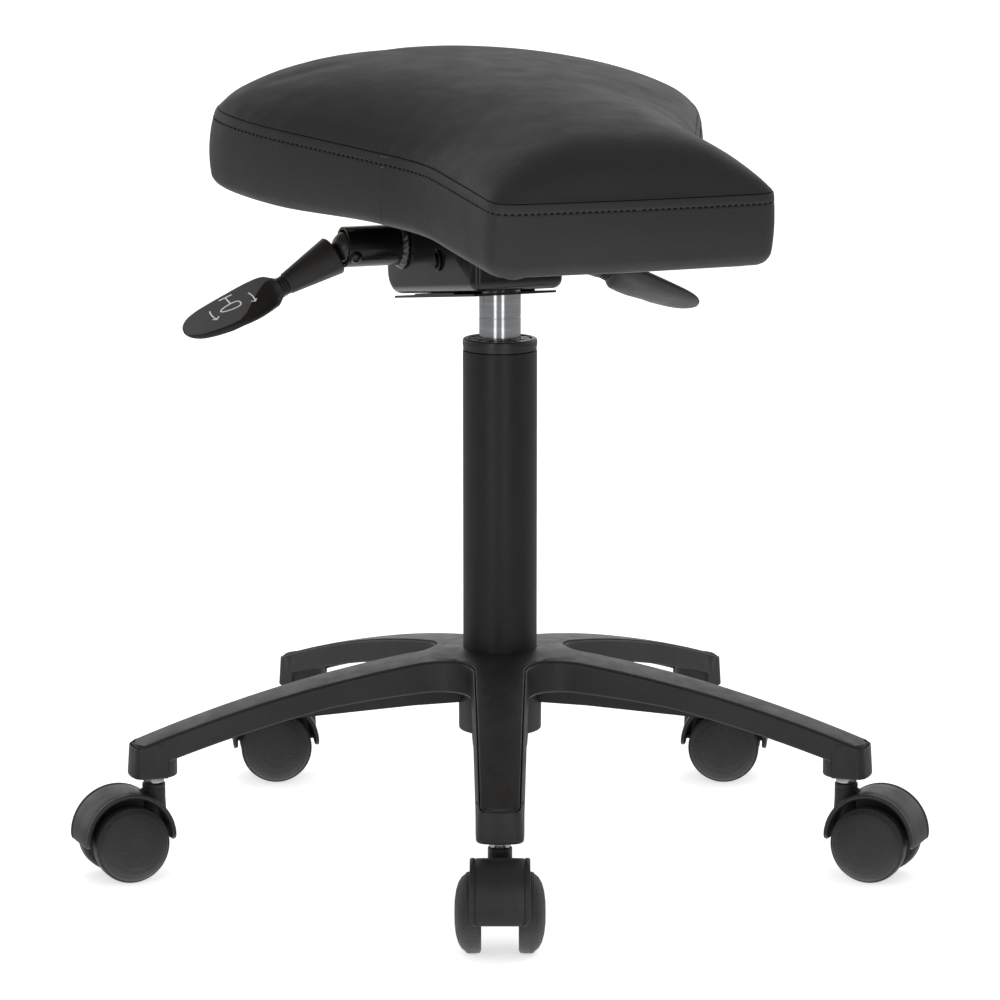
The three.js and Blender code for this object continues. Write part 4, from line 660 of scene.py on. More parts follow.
def cut_through(obj, holes):
    """Bores through a mesh: (radius, start, end, place matrix), along the matrix's own X."""
    cutter_build = Build()
    for radius, start, end, m in holes:
        cutter_build.lathe([(0, start), (radius, start), (radius, end), (0, end)], m, "x", 40)
    mesh = raw_mesh("cutter", cutter_build)
    cleaned(mesh, 0.01 * MM)
    cutter = linked("cutter", mesh)
    made = obj.modifiers.new("bores", "BOOLEAN")
    made.operation, made.solver, made.object = "DIFFERENCE", "EXACT", cutter
    bored = evaluated(obj)
    obj.modifiers.clear()
    old, obj.data = obj.data, bored
    bpy.data.objects.remove(cutter)
    bpy.data.meshes.remove(old)
    bored.set_sharp_from_angle(angle=rad(34))


def tilt_housing():
    pan = finish_mesh("housing_pressing", housing(), ENAMEL, "mechanism", "tilt_housing",
                      m=HEAD, sharp=34)
    cut_through(pan, [
        (SOCKET_HOLE, 360, 411, HEAD @ turned(rad(-90), "Y")),
        (PIVOT_HOLE, -40, 40, HEAD @ shift(0, *PIVOT)),
        (LEVER_HOLE, -40, 40, HEAD @ shift(0, *LEVER)),
        (ROCKER_HOLE, -40, 40, HEAD @ shift(0, *ROCKER)),
    ])


def lever_side(name, hand):
    """Tube, weld, pin, snap ring and lever of one side."""
    flip = turned(0 if hand > 0 else PI, "Z")
    at = HEAD @ shift(0, LEVER[0], 0) @ flip @ shift(0, 0, LEVER[1])
    tube = fillet([(LEVER_TUBE_BORE, LEVER_TUBE_FROM, 0), (LEVER_TUBE_R, LEVER_TUBE_FROM, 0),
                   (LEVER_TUBE_R, LEVER_TUBE_TO, 0.5), (LEVER_TUBE_BORE, LEVER_TUBE_TO, 0.4),
                   (LEVER_TUBE_BORE, LEVER_TUBE_FROM, 0)])
    weld = fillet([(13.9, LEVER_TUBE_FROM, 0), (16.7, LEVER_TUBE_FROM, 0.5), (16.6, 34.4, 0.9),
                   (15.2, 36.2, 1.2), (13.9, 37.2, 0)])
    build = Build().lathe(tube, axis="x", steps=72)
    build.lathe(weld, axis="x", steps=120, kind=1, wobble=bead)
    finish_mesh("lever_tube_" + name + "_welded", build, [ENAMEL, WELD], "mechanism", "lever_tube_" + name,
                m=at)
    head = fillet([(0, 13.4, 0), (PIN_HEAD_R, 13.4, 0), (PIN_HEAD_R, 14.6, 0.5), (3.2, 16.2, 1.6),
                   (0, PIN_TOP, 0)])
    pin = Build()
    for profile in (head, [(r, -h) for r, h in head], [(PIN_R, -14.4), (PIN_R, 14.4)]):
        pin.lathe(profile, shift(PIN_X, 0, 0), "y", 32)
    finish_mesh("lever_pin_" + name + "_riveted", pin, ENAMEL, "mechanism", "lever_pin_" + name,
                m=at @ turned(PIN_ROLL * hand, "X"))
    ring = fillet([(PIVOT_HOLE, SNAP_FROM, 0), (SNAP_R, SNAP_FROM, 0.3), (SNAP_R, SNAP_TO, 0.4),
                   (PIVOT_HOLE, SNAP_TO, 0.2), (PIVOT_HOLE, SNAP_FROM, 0)])
    finish_mesh("snap_ring_" + name + "_sprung", Build().lathe(ring, axis="x", steps=48), BLACKENED,
                "mechanism", "snap_ring_" + name, m=HEAD @ shift(0, *PIVOT) @ flip)
    lever(name, at)


# Levers, along +X from the tube's axis, falling in two bends
CONE_DROP, BLADE_DROP, BLADE_ROLL = rad(28), rad(21.7), rad(-25)
CONE_AXIS = np.array([math.cos(CONE_DROP), 0, -math.sin(CONE_DROP)])
BLADE_AXIS = np.array([math.cos(BLADE_DROP), 0, -math.sin(BLADE_DROP)])
BALL_X, BALL_R, ARM_R = 73.0, 10.8, 4
CONE_FROM, CONE_R, CONE_TO, CONE_END_R, NECK_RING, BLADE_FROM = 11.9, 13.8, 49.6, 7.6, 2.1, 56.6
BLADE_REACH, BLADE_HALF, BLADE_DEEP, BLADE_EDGE, BLADE_BEND = 72.4, 16, 4.5, 2.4, 0.29
LID_ROOT, LID_TIP, LID_START = 2.1, 1.5, 5.5
BEVEL_STEPS, LID_STEPS, UNDER_STEPS = 12, 20, 27
# Place along the blade, half widths behind and before its axis, depth
BLADE_SHARES = [
    (-0.04, 0.42, 0.4, 1.1), (-0.015, 0.66, 0.42, 1.15), (0.01, 0.95, 0.44, 1.2), (0.035, 1.1, 0.47, 1.22),
    (0.06, 1.17, 0.5, 1.24), (0.1, 1.22, 0.56, 1.28), (0.16, 1.24, 0.67, 1.32), (0.24, 1.24, 0.81, 1.35),
    (0.32, 1.22, 0.94, 1.36), (0.4, 1.19, 1.04, 1.35), (0.5, 1.15, 1.1, 1.3), (0.6, 1.1, 1.11, 1.2),
    (0.68, 1.05, 1.06, 1.05), (0.75, 1.0, 1.0, 0.95), (0.81, 0.93, 0.93, 0.85), (0.87, 0.83, 0.83, 0.75),
    (0.915, 0.71, 0.71, 0.65), (0.95, 0.57, 0.57, 0.55), (0.975, 0.43, 0.43, 0.45), (0.992, 0.26, 0.26, 0.35),
    (1, 0.08, 0.08, 0.25)]


def blade_frame():
    """Across and thickness directions of the rolled blade."""
    level = np.array([0.0, 1, 0])
    wide = level * math.cos(BLADE_ROLL) + np.cross(BLADE_AXIS, level) * math.sin(BLADE_ROLL)
    return wide, np.cross(BLADE_AXIS, wide)


def lid_height(place):
    if place < 0:
        return lerp(LID_START, LID_ROOT, share(place, BLADE_SHARES[0][0], 0))
    return lerp(LID_ROOT, LID_TIP, share(place, 0, 1))


def blade_section(place, rear, fore, depth):
    """Outline across the blade: the bevel up to the ridge, the flat lid, and the rounded underside."""
    rear, fore, depth = BLADE_HALF * rear, BLADE_HALF * fore, BLADE_DEEP * depth
    lid = min(lid_height(place), depth)
    ridge = lerp(-0.74 * rear, 0.84 * fore, share(place, -0.03, 0.46))
    top = np.r_[np.linspace(fore, ridge, BEVEL_STEPS), np.linspace(ridge, -rear, LID_STEPS)[1:]]
    edge = np.clip(np.minimum(fore - top, top + rear) / min(BLADE_EDGE, rear), 0, 1)
    under = np.cos(np.linspace(PI, 2 * PI, UNDER_STEPS)[1:-1])
    aside = np.r_[top, np.where(under > 0, fore, rear) * under]
    level = np.r_[lid * np.sqrt(1 - (1 - edge) ** 2), -depth * (1 - under ** 2) ** 0.4]
    level -= np.maximum(0, aside - ridge) * BLADE_BEND * share(place, -0.02, 0.05)
    return zip(aside, level)


def lever_arm(name, at, spin):
    arm = Build()
    ball = [(BALL_R * math.cos(a), BALL_X + BALL_R * math.sin(a)) for a in np.linspace(-PI / 2, PI / 2, 25)]
    arm.lathe(ball, axis="x", steps=56)
    arm.lathe([(0, 8.2), (ARM_R, 8.2), (ARM_R, 66)], axis="x", steps=32)
    arm.lathe([(ARM_R, 8), (ARM_R, 31), (0, 31)], spin, "x", 32)
    finish_mesh(name + "_lever_arm_ball", arm, BUSH, name + "_lever", name + "_lever_arm",
                m=at)


def lever_handle(name, at, spin):
    cone = fillet([(4.3, 10.6, 0), (12.4, 10.6, 0.4), (CONE_R, CONE_FROM, 1.0), (CONE_END_R, CONE_TO, 0.4),
                   (6.7, 50.2, 0.3), (6.3, 50.4, 0)])
    ring = [(6.3, 0.3), (6.9, 0.7), (7.05, 1.2), (6.9, 1.7), (6.3, 2.1)]
    neck = [(r, 50.2 + NECK_RING * k + h) for k in range(3) for r, h in ring]
    build = Build().lathe(cone + neck, spin, "x", 64)
    root = np.array([BALL_X, 0, 0]) + CONE_AXIS * BLADE_FROM
    wide, thick = blade_frame()
    rings = []
    for shares in BLADE_SHARES:
        middle = root + BLADE_AXIS * shares[0] * BLADE_REACH
        rings.append([middle + wide * u + thick * v for u, v in blade_section(*shares)])
    around = len(rings[0])
    rings.append([root + BLADE_AXIS * (BLADE_REACH + 0.2) + thick * 0.4] * around)
    first = len(build.faces)
    build.skin(rings, True)
    for k in range(first, len(build.faces)):
        row, place = divmod(k - first, around)
        # Faces of the flat lid take the lighter grey of painted light.
        on_painted_lit_lid = BEVEL_STEPS - 1 <= place < BEVEL_STEPS + LID_STEPS - 3
        if on_painted_lit_lid and 1 < row < len(BLADE_SHARES) - 2:
            build.kinds[k] = 1
    finish_mesh(name + "_lever_handle_moulding", build, [GRIP, PAINTED_LIT_LID], name + "_lever", name + "_lever_handle",
                m=at, sharp=33)
    lid_mark(name, at, root, wide, thick)


def lever(name, at):
    spin = shift(BALL_X, 0, 0) @ turned(CONE_DROP, "Y")
    lever_arm(name, at, spin)
    lever_handle(name, at, spin)


def ribbon(build, line, width, to_space):
    """A flat ribbon of ink along a line of (along, across) points."""
    rise = 0.06
    line = np.asarray(line, float)
    tangent = np.gradient(line, axis=0)
    tangent /= np.maximum(length(tangent, axis=1), 1e-9)[:, None]
    side = np.c_[-tangent[:, 1], tangent[:, 0]] * width / 2
    build.skin([[to_space(*p, lift) for p in row]
                for row, lift in ((line + side, 0.0), (line, rise), (line - side, 0.0))], False)


def lid_mark(name, at, root, wide, thick):
    """A plain sign for the lever's use: a seat between two arrows, printed on the blade's flat side."""
    def to_space(u, v, rise):
        lid = lerp(LID_ROOT, LID_TIP, share(u / 70, 0, 1))
        return root + BLADE_AXIS * u + wide * v + thick * (lid + 0.05 + rise)

    middle, pen, stalk_pen = 34, 1.0, 1.1
    build = Build()
    turn = np.linspace(0, 2 * PI, 25)
    seat = np.c_[middle + 7.6 * np.cos(turn) + 1.4 * np.cos(2 * turn), 3.2 * np.sin(turn) - 2.0]
    ribbon(build, np.vstack([seat, seat[1:2]]), pen, to_space)
    ribbon(build, [(middle, -5.4), (middle, -9), (middle, -13)], stalk_pen, to_space)
    ribbon(build, [(middle - 5, -13.4), (middle, -13.4), (middle + 5, -13.4)], stalk_pen, to_space)
    for end in (-1, 1):
        x = middle + end * 14
        bow = [(x + end * 1.8 * math.cos(a), 6 * math.sin(a) - 2.0) for a in np.linspace(-1.1, 1.1, 9)]
        ribbon(build, bow, pen, to_space)
        tip = x + end * 0.9
        ribbon(build, [(x + end * 0.5 - 2.2, 1.6), (tip, 3.9), (tip + 2.4, 2.0)], pen, to_space)
    finish_mesh(name + "_lever_print", build, INK, name + "_lever", None, m=at)


tilt_housing()
lever_side("right", 1)
lever_side("left", -1)

# Cushion: plan lines of the seam, half widths (W) and places to the front (V)
NOSE_V, NOSE_W, CORNER, NOSE_BOW = 232.0, 95.8, 15.0, 2
WAIST_V, WAIST_W, WAIST_R = 104.5, 94.3, 25.0
WING_V, WING_W, WING_R, REAR_V, FULL = -50.5, 168.5, 50.0, -157.0, 0.6
SPINE_F, SPINE_R = 162.0, -76.0
HALF_STEPS, SIDE_SEAM, PINCH = 180, 250.0, 80.0
# Heights below the seam, and the cover's shape
DEPTH, WING_DEPTH, POCKET, POCKET_EDGE = 47.4, 4.6, 12.3, 6.7
SEAM_BAND, HEM, NOSE_HEM, FINE_DEPTH = 6.2, 6.2, 2.6, 11
WING_BULGE, NOSE_BULGE = 5.1, 2.0
# The crown's grid, its tightness and its height at places along the middle line
GRID, FIELD_HALF, FIELD_FRONT, FIELD_REAR = 4.0, 180, -244, 168
SKIN_SPAN, CROWN_POWER = 66.5, 0.849
CROWN_PLACES, CROWN_HEIGHTS = (60, -60, -160), (35.3, 37.7, 36.0)
CROWN_FRONT, CROWN_REAR, FRONT_FALL, REAR_FALL = -234, 157, 17.5, 13.5
LEFT_WING_SHARE, RIGHT_SHOULDER_SHARE = 0.13, 0.1
# The cloth that fills the cover out
FOAM_VOXEL, FOAM_FRAMES, FOAM_CAP, FOAM_REACH, FOAM_BLUR = 6.0, 16, 4.0, 15.0, 7.0


def seat_half():
    """Right half of the seam's plan line from the nose's middle to the rear's, and its lengths."""
    def point(x, y):
        return np.array([x, y], float)

    def quad(a, b, c):
        return arc(a, b, c, np.linspace(0, 1, 20)[:, None])

    waist, wing = point(WAIST_W, WAIST_V), point(WING_W, WING_V)
    flare = wing - waist
    flare /= length(flare)
    low = WING_V - WING_R * FULL
    t = np.linspace(0, 1, 60)[:, None]
    end = ((1 - t) ** 3 * point(WING_W, low) + 3 * t * (1 - t) ** 2 * point(WING_W, lerp(low, REAR_V, FULL))
           + 3 * t * t * (1 - t) * point(WING_W * FULL, REAR_V) + t ** 3 * point(0, REAR_V))
    flat = NOSE_W - CORNER
    nose = np.c_[np.linspace(0, flat, 20), NOSE_V + NOSE_BOW * (1 - np.linspace(0, 1, 20) ** 2)]
    line = np.vstack([nose,
                      quad(point(flat, NOSE_V), point(NOSE_W, NOSE_V), point(NOSE_W, NOSE_V - CORNER)),
                      quad(point(WAIST_W, WAIST_V + WAIST_R), waist, waist + flare * WAIST_R),
                      quad(wing - flare * WING_R, wing, point(WING_W, low)), end])
    s = np.r_[0, np.cumsum(length(np.diff(line, axis=0), axis=1))]
    around_seam = SIDE_SEAM + np.array([-3.3, -2.2, -1.4, -0.9, -0.5, 0.01, 0.5, 0.9, 1.4, 2.2, 3.3])
    u = np.sort(np.r_[np.linspace(0, s[-1], HALF_STEPS), around_seam])
    return np.c_[np.interp(u, s, line[:, 0]), np.interp(u, s, line[:, 1])], u


def seat_outline():
    """The seam's plan line with its outward directions, in the seat's frame (+Y to the rear)."""
    half, along = seat_half()
    full = np.vstack([half, (half * np.array([-1, 1]))[::-1][1:-1]])
    full = np.c_[full[:, 0], -full[:, 1]]
    tangent = np.roll(full, -1, axis=0) - np.roll(full, 1, axis=0)
    tangent /= length(tangent, axis=1)[:, None]
    out = np.c_[tangent[:, 1], -tangent[:, 0]]
    if np.sum(out[:20] * full[:20]) < 0:
        out = -out
    return full, out, np.r_[along, along[::-1][1:-1]]


LINE, OUT, ALONG = seat_outline()
AROUND = len(LINE)
STEP = np.r_[0, np.cumsum(length(np.diff(LINE, axis=0), axis=1))]
ROUND = STEP[-1] + length(LINE[0] - LINE[-1])
BULGE = np.array([lerp(WING_BULGE, NOSE_BULGE, share(-y, 0, NOSE_V)) for _, y in LINE])
AT_NOSE = np.clip((-LINE[:, 1] - 150) / 75, 0, 1)
AT_WINGS = eased(np.clip((LINE[:, 1] + 70) / 90, 0, 1))


def swell(h):
    """The boxing's share of bulge at a depth h below the seam, from 0 to the seat's depth."""
    t = h / DEPTH
    return max(0.0, math.sin(PI * min(1.0, t * 0.98 + 0.01)) ** 0.62) * (0.94 + 0.12 * t)


def boxing(h):
    """Outward offset of the boxing at a depth h, apart from the foam's bulge."""
    band, groove, groove_half = 0.18, 0.42, 0.75
    return (band * math.sin(PI * min(1, max(0, h / SEAM_BAND)))
            - groove * math.exp(-((h - SEAM_BAND) / groove_half) ** 2))


def crown_field():
    """The height of a cover blown up over the seam's outline, as a grid: a stretched skin held
    down by springs, which gives a full dome that keeps clear of ridges."""
    xs = np.arange(-FIELD_HALF, FIELD_HALF + 1, GRID)
    ys = np.arange(FIELD_FRONT, FIELD_REAR + 1, GRID)
    x, y = np.meshgrid(xs, ys)
    inside = np.zeros(x.shape, bool)
    for (x0, y0), (x1, y1) in zip(LINE, np.roll(LINE, 1, axis=0)):
        if y0 != y1:
            inside ^= ((y0 > y) != (y1 > y)) & (x < (x1 - x0) * (y - y0) / (y1 - y0) + x0)
    z = np.zeros(x.shape)
    odd = (np.indices(x.shape).sum(0) % 2).astype(bool)
    stiff = 1 / (4 + (GRID / SKIN_SPAN) ** 2)
    overshoot, rounds = 1.9, 110
    for _ in range(rounds):
        for cells in (inside & odd, inside & ~odd):
            around = np.roll(z, 1, 0) + np.roll(z, -1, 0) + np.roll(z, 1, 1) + np.roll(z, -1, 1)
            z[cells] += overshoot * ((around + 1) * stiff - z)[cells]
    z = np.clip(z, 0, None)
    middle = np.interp(np.clip(ys, -226, 150), ys, z[:, len(xs) // 2])
    along = np.clip(ys, CROWN_FRONT, CROWN_REAR)
    height = np.polyval(np.polyfit(CROWN_PLACES, CROWN_HEIGHTS, 2), np.clip(along, -175, 75))
    height *= 1 - np.exp(-(along - CROWN_FRONT) / FRONT_FALL)
    height *= 1 - np.exp(-(CROWN_REAR - along) / REAR_FALL)
    left_wing = np.clip((-x - 40) / 90, 0, 1) * np.clip((y + 60) / 100, 0, 1)
    right_shoulder = np.clip((x - 15) / 45, 0, 1) * np.clip((-y - 50) / 60, 0, 1)
    fuller = 1 + LEFT_WING_SHARE * left_wing + RIGHT_SHOULDER_SHARE * right_shoulder
    return height[:, None] * (z / middle[:, None]) ** CROWN_POWER * fuller


def sampled(field, plan):
    """Smooth reading of the grid at plan points (quadratic B-spline)."""
    u, v = (plan[..., 0] + FIELD_HALF) / GRID, (plan[..., 1] - FIELD_FRONT) / GRID
    i, j = np.rint(u).astype(int), np.rint(v).astype(int)
    u, v = u - i, v - j
    i, j = np.clip(i, 1, field.shape[1] - 2), np.clip(j, 1, field.shape[0] - 2)
    wu = [0.5 * (0.5 - u) ** 2, 0.75 - u * u, 0.5 * (0.5 + u) ** 2]
    wv = [0.5 * (0.5 - v) ** 2, 0.75 - v * v, 0.5 * (0.5 + v) ** 2]
    return sum(wv[b] * wu[a] * field[j + b - 1, i + a - 1] for a in range(3) for b in range(3))


def places(mesh):
    return np.array([v.co for v in mesh.vertices]) / MM


def foam_body(rings):
    """An even mesh of the cushion's closed skin."""
    mesh = raw_mesh("foam", Build().skin(rings))
    body = linked("foam", mesh)
    remesh = body.modifiers.new("voxels", "REMESH")
    remesh.mode, remesh.voxel_size = "VOXEL", FOAM_VOXEL * MM
    even = evaluated(body)
    body.modifiers.clear()
    body.data = even
    bpy.data.meshes.remove(mesh)
    return body


def hold(body, rest):
    """Weights of the cloth's held points: near the seam and at the hem."""
    seam = np.c_[LINE, np.zeros(AROUND)][::2]
    near = np.min(length(rest[:, None, :] - seam[None], axis=2), axis=1)
    held = np.clip(1.6 - near / 9.0, 0, 1)
    held = np.maximum(held, (rest[:, 2] < -DEPTH + 7).astype(float))
    group = body.vertex_groups.new(name="held")
    for i, weight in enumerate(held):
        if weight > 0:
            group.add([i], float(weight), "REPLACE")


def puff(body, rest):
    """Moves of the body's points after some frames of cloth under pressure."""
    cloth = body.modifiers.new("foam", "CLOTH")
    cloth.settings.quality = 5
    cloth.settings.mass = 0.3
    cloth.settings.vertex_group_mass = "held"
    cloth.settings.use_pressure = True
    cloth.settings.uniform_pressure_force = 4.0
    cloth.settings.effector_weights.gravity = 0.0
    cloth.collision_settings.use_collision = False
    cloth.point_cache.frame_start, cloth.point_cache.frame_end = 1, FOAM_FRAMES
    for number in range(1, FOAM_FRAMES + 1):
        bpy.context.scene.frame_set(number)
    puffed = evaluated(body)
    move = places(puffed) - rest
    bpy.context.scene.frame_set(1)
    bpy.data.meshes.remove(puffed)
    far = length(move, axis=1)
    return move * (FOAM_CAP * np.tanh(far / FOAM_CAP) / np.maximum(far, 1e-6))[:, None]


def blown_up(rings):
    """Cloth under pressure, held at the seam and the hem: returns a smooth move for every point."""
    body = foam_body(rings)
    rest = places(body.data)
    hold(body, rest)
    move = puff(body, rest)
    even = body.data
    bpy.data.objects.remove(body)
    bpy.data.meshes.remove(even)
    tree = KDTree(len(rest))
    for i, co in enumerate(rest):
        tree.insert(co, i)
    tree.balance()
    points = rings.reshape(-1, 3)
    out = np.zeros_like(points)
    for k, point in enumerate(points):
        found = tree.find_range(point, FOAM_REACH)
        if found:
            weights = np.array([math.exp(-(d / FOAM_BLUR) ** 2) for _, _, d in found])
            out[k] = (move[[i for _, i, _ in found]] * weights[:, None]).sum(0) / weights.sum()
    return out.reshape(rings.shape)


class Cover:
    """Rings of the cushion's skin from the pocket over the hem, the boxing and the seam to the crown,
    with the material and the looseness of each ring."""

    def __init__(self):
        self.rings, self.kinds, self.free = [], [], []
        self.spine = np.c_[np.zeros(AROUND), np.clip(LINE[:, 1], -SPINE_F, -SPINE_R)]
        self.side = np.exp(-((ALONG - SIDE_SEAM) / 0.75) ** 2)
        self.pinch = 1.6 * np.where(LINE[:, 0] < 0, np.exp(-((ALONG - PINCH) / 6.0) ** 2), 0)
        self.hem = HEM + NOSE_HEM * AT_NOSE
        self.deep = DEPTH + WING_DEPTH * AT_WINGS
        self.pocket()
        self.sides()
        self.seam()
        self.crown()

    def ring(self, offset, z, kind=0, loose=0.0, plan=None):
        if plan is None:
            plan = LINE + OUT * np.broadcast_to(offset, AROUND).reshape(-1, 1)
        self.rings.append(np.c_[plan, np.broadcast_to(z, AROUND)])
        self.kinds.append(kind)
        self.free.append(loose)

    def pocket(self):
        """The recess for the board, and the bottom's edge."""
        inner = LINE - OUT * POCKET_EDGE
        for t in (0.0, 0.4, 0.8):
            self.ring(0, POCKET - DEPTH, plan=self.spine * (1 - t) + inner * t)
        self.ring(-POCKET_EDGE, POCKET - DEPTH)
        self.ring(-POCKET_EDGE, -DEPTH + 0.4)
        self.ring(-POCKET_EDGE + 0.2 - NOSE_HEM * AT_NOSE, -DEPTH)

    def sides(self):
        """The rounded hem and the boxing, down at the bottom first."""
        for a in (4, 20, 36, 52, 68, 84):
            drop = self.deep - self.hem * (1 - math.cos(rad(a)))
            offset = BULGE * swell(DEPTH - HEM) * (a / 90) ** 1.5 - 0.3 * self.side
            self.ring(offset - self.hem * (1 - math.sin(rad(a))), -drop - self.pinch)
        fine = [9.4, 8.4, 7.7, 7.2, 6.8, 6.5, 6.2, 5.9, 5.6, 5.2, 4.6, 3.6, 2.4, 1.4, 0.7]
        for h in np.r_[np.linspace(DEPTH - HEM - 1.2, FINE_DEPTH, 15), fine]:
            low = share(h, DEPTH - 14, DEPTH - HEM) ** 2
            stretch = (self.deep - self.hem - FINE_DEPTH) / (DEPTH - HEM - FINE_DEPTH)
            level = h + max(0, h - FINE_DEPTH) * (stretch - 1)
            crease = 0.75 * self.side * share(h, SEAM_BAND - 0.5, SEAM_BAND + 0.6)
            self.ring(boxing(h) + BULGE * swell(h) - crease, -level - self.pinch * low, loose=share(h, 8, 13))

    def seam(self):
        """The crease between the boxing and the top panel. Its inner rings are kind 1, so the crease is
        painted near-black as painted shade.
        """
        self.ring(0.02 + BULGE * swell(0.3), -0.3)
        for offset, z in ((-0.25, -0.12), (-0.72, 0.0), (-0.72, 0.12)):
            self.ring(offset, z, 1)

    def crown(self):
        """The top panel, drawn in from the seam to the spine."""
        field = crown_field()
        at_seam = sampled(field, LINE)
        rising = [0.0035, 0.007, 0.012, 0.02, 0.03, 0.042, 0.056, 0.075, 0.1, 0.13, 0.165, 0.205, 0.25, 0.3]
        for reach in rising + [0.35, 0.4, 0.46, 0.52, 0.58, 0.64, 0.7, 0.77, 0.84, 0.92, 1.0]:
            plan = LINE * (1 - reach) + self.spine * reach
            lip = 0.5 * share(reach, 0, 0.007)
            rise = sampled(field, plan) - at_seam * max(0.0, 1 - reach / 0.06) + lip
            self.ring(0, np.maximum(rise, 0.3), plan=plan, loose=share(reach, 0.05, 0.15))


def cushion():
    cover = Cover()
    rings, kinds = np.array(cover.rings), cover.kinds
    rings += blown_up(rings) * np.array(cover.free)[:, None, None]
    build = Build()
    for number in range(1, len(rings)):
        pair = kinds[number - 1:number + 1]
        # Faces between two kind 1 rings take the painted seam shade.
        build.skin(rings[number - 1:number + 1], True, 1 if sum(pair) > 1 else 0)
    obj = finish_mesh("seat_cushion_upholstered", build, [VINYL, PAINTED_SEAM_SHADE], "seat", "seat_cushion",
                      m=SEAT, sharp=75)


def stitch_row(build, depth, out, pitch, long, thick, start, end):
    """Stitches along the seam's line at a depth below it: short rods, sunk at both ends."""
    for k in range(int((end - start) / pitch)):
        s = (start + (k + 0.5) * pitch) % ROUND
        i = int(np.searchsorted(STEP, s) - 1) % AROUND
        along = LINE[(i + 1) % AROUND] - LINE[i]
        span = length(along)
        p, q = LINE[i] + along * (s - STEP[i]) / span, OUT[i]
        centre = np.array([*(p + q * (out + BULGE[i] * swell(depth))), -depth])
        forward, outward, upward = np.array([*along / span, 0.0]), np.array([*q, 0.0]), np.array([0, 0, 1.0])
        rings = []
        for place, r in ((-0.5, 0.0), (-0.44, 0.6), (-0.2, 1.0), (0.2, 1.0), (0.44, 0.6), (0.5, 0.0)):
            sunk = -thick * 0.9 * (abs(place) * 2) ** 3
            mid = centre + forward * place * long + outward * sunk
            rings.append([mid + (outward * math.cos(b) + upward * math.sin(b)) * r * thick
                          for b in np.linspace(0, 2 * PI, 7)[:-1]])
        build.skin(rings, True)


def stitching():
    row = Build()
    stitch_row(row, SEAM_BAND, -0.26, 4.2, 2.8, 0.58, 0.0, ROUND)
    finish_mesh("seat_top_stitch", row, THREAD, "seat", None, m=SEAT, sharp=60)
    row = Build()
    for place in (SIDE_SEAM, ROUND - SIDE_SEAM):
        for depth, reach in ((1.1, 4.5), (SEAM_BAND + 1.6, 1.5)):
            stitch_row(row, depth, 0.0, 1.9, 1.2, 0.2, place - reach, place + reach)
    finish_mesh("seat_side_stitch", row, PALE_THREAD, "seat", None, m=SEAT, sharp=60)


cushion()
stitching()

# Finishes of the solids that stay; the others are zinc-plated
FINISH = {"pivot_axle": BLACKENED, "seat_board": BOARD, "bottom_plate": ENAMEL, "taper_socket": ENAMEL,
          "clamp_bracket": ENAMEL, "seat_plate": ENAMEL}
WORN_EDGE = 0.25
for name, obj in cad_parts.items():
    if not obj.hide_render:
        obj.data.materials.clear()
        obj.data.materials.append(FINISH.get(name, STEEL))
        edges = obj.modifiers.new("worn_edges", "BEVEL")
        edges.width, edges.segments = WORN_EDGE * MM, 2
        edges.limit_method, edges.angle_limit = "ANGLE", rad(40)

# Studio, in metres
FLOOR_HALF, FLOOR_GLOW = 40, 0.62
SKY_ENERGY, SKY_WIDTH = 1.0, rad(80)
# Strength of the surroundings by height, from straight down (-1) to straight up (1)
BEHIND = [(-0.85, 1.6), (-0.4, 1.0), (-0.2, 0.42), (-0.03, 0.42), (0.04, 1.2), (0.38, 1.2), (0.66, 0.32),
          (0.95, 0.3)]
BEFORE = [(-0.85, 1.9), (-0.45, 1.3), (-0.27, 0.75), (-0.12, 0.32), (0.1, 0.34), (0.34, 0.4), (0.6, 0.2),
          (0.95, 0.24)]
# The camera's focal length in pixels of the frame, its place and its angle below the level
FOCAL, FRAME_WIDTH, SENSOR = 4274, 1000, 36
CAMERA_PLACE, CAMERA_DROP = (0, -2.843, 0.752), rad(10.22)


def floor():
    h = FLOOR_HALF
    mesh = bpy.data.meshes.new("floor")
    mesh.from_pydata([(-h, -h, 0), (h, -h, 0), (h, h, 0), (-h, h, 0)], [], [(0, 1, 2, 3)])
    mesh.materials.append(FLOOR)
    obj = linked("floor", mesh)
    obj.visible_glossy = False
    shader = FLOOR.node_tree.nodes["Principled BSDF"]
    shader.inputs["Emission Color"].default_value = (1, 1, 1, 1)
    shader.inputs["Emission Strength"].default_value = FLOOR_GLOW


def softbox(name, place, aim, size, glow):
    light = bpy.data.lights.new(name, "AREA")
    light.shape, light.size, light.size_y = "RECTANGLE", size[0], size[1]
    light.energy = glow * PI * size[0] * size[1]
    obj = linked(name, light)
    obj.location = place
    obj.rotation_euler = (Vector(aim) - Vector(place)).to_track_quat("-Z", "Y").to_euler()
    obj.visible_camera = False


def sky():
    light = bpy.data.lights.new("sky", "SUN")
    light.energy, light.angle = SKY_ENERGY, SKY_WIDTH
    obj = linked("sky", light)
    obj.rotation_euler = (rad(-12), rad(8), 0)
    obj.visible_glossy = False


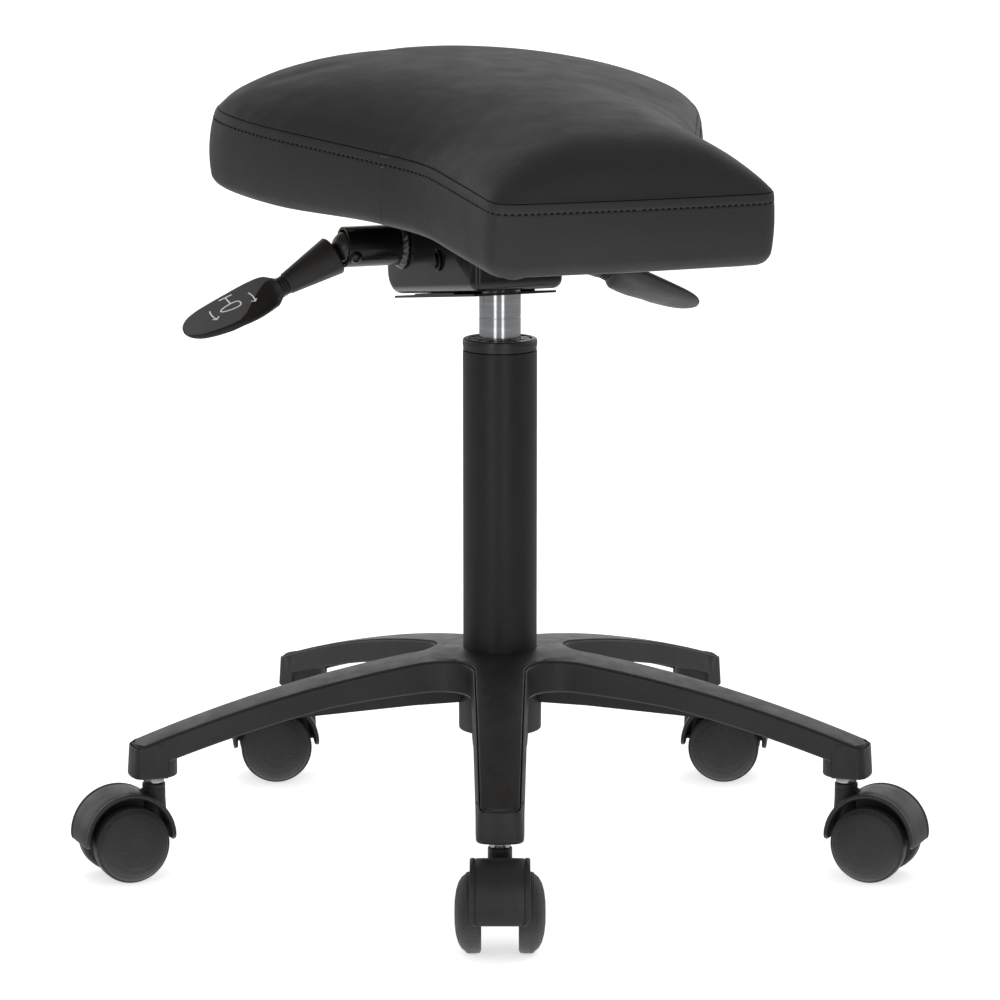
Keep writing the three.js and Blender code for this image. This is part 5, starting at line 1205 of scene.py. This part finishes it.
def by_height(tree, up, stops):
    """Half the strength at a height, read from stops."""
    ramp = node(tree, "ShaderNodeValToRGB")
    line = ramp.color_ramp
    line.interpolation = "EASE"
    while len(line.elements) < len(stops):
        line.elements.new(0.5)
    for element, (place, value) in zip(line.elements, stops):
        element.position = (place + 1) / 2
        element.color = (value / 2, value / 2, value / 2, 1)
    tree.links.new(ranged(tree, up, 0, 1, -1, 1), ramp.inputs["Fac"])
    return ramp.outputs["Color"]


def mixed(tree, factor, first, second):
    mix = node(tree, "ShaderNodeMix", data_type="FLOAT")
    tree.links.new(factor, mix.inputs[0])
    tree.links.new(first, mix.inputs[2])
    if isinstance(second, float):
        mix.inputs[3].default_value = second
    else:
        tree.links.new(second, mix.inputs[3])
    return mix.outputs[0]


def surroundings():
    """White all round, brighter low and behind; the camera itself sees plain white."""
    world = bpy.data.worlds.new("studio")
    world.use_nodes = True
    tree = world.node_tree
    split = node(tree, "ShaderNodeSeparateXYZ")
    tree.links.new(node(tree, "ShaderNodeTexCoord").outputs["Generated"], split.inputs[0])
    up, back = split.outputs["Z"], ranged(tree, split.outputs["Y"], 0, 1, -0.5, 0.4)
    half = mixed(tree, back, by_height(tree, up, BEFORE), by_height(tree, up, BEHIND))
    doubled = node(tree, "ShaderNodeMath", operation="MULTIPLY")
    doubled.inputs[1].default_value = 2.0
    tree.links.new(half, doubled.inputs[0])
    camera_ray = node(tree, "ShaderNodeLightPath").outputs["Is Camera Ray"]
    shader = tree.nodes["Background"]
    shader.inputs["Color"].default_value = (1, 1, 1, 1)
    tree.links.new(mixed(tree, camera_ray, doubled.outputs[0], 1.0), shader.inputs["Strength"])
    bpy.context.scene.world = world


def photo_camera():
    camera = bpy.data.cameras.new("camera")
    camera.lens, camera.sensor_width = FOCAL * SENSOR / FRAME_WIDTH, SENSOR
    camera.clip_end = 200
    obj = linked("camera", camera)
    obj.location = CAMERA_PLACE
    obj.rotation_euler = (PI / 2 - CAMERA_DROP, 0, 0)
    bpy.context.scene.camera = obj


floor()
softbox("strip_left", (-0.576, -1.165, 0.76), (0, 0, 0.5), (0.3, 1.5), 2.6)
softbox("strip_right", (0.352, -1.25, 0.76), (0, 0, 0.5), (0.28, 1.5), 2.6)
sky()
surroundings()
photo_camera()
bpy.context.scene.view_settings.view_transform = "Standard"
bpy.context.scene.view_settings.look = "None"
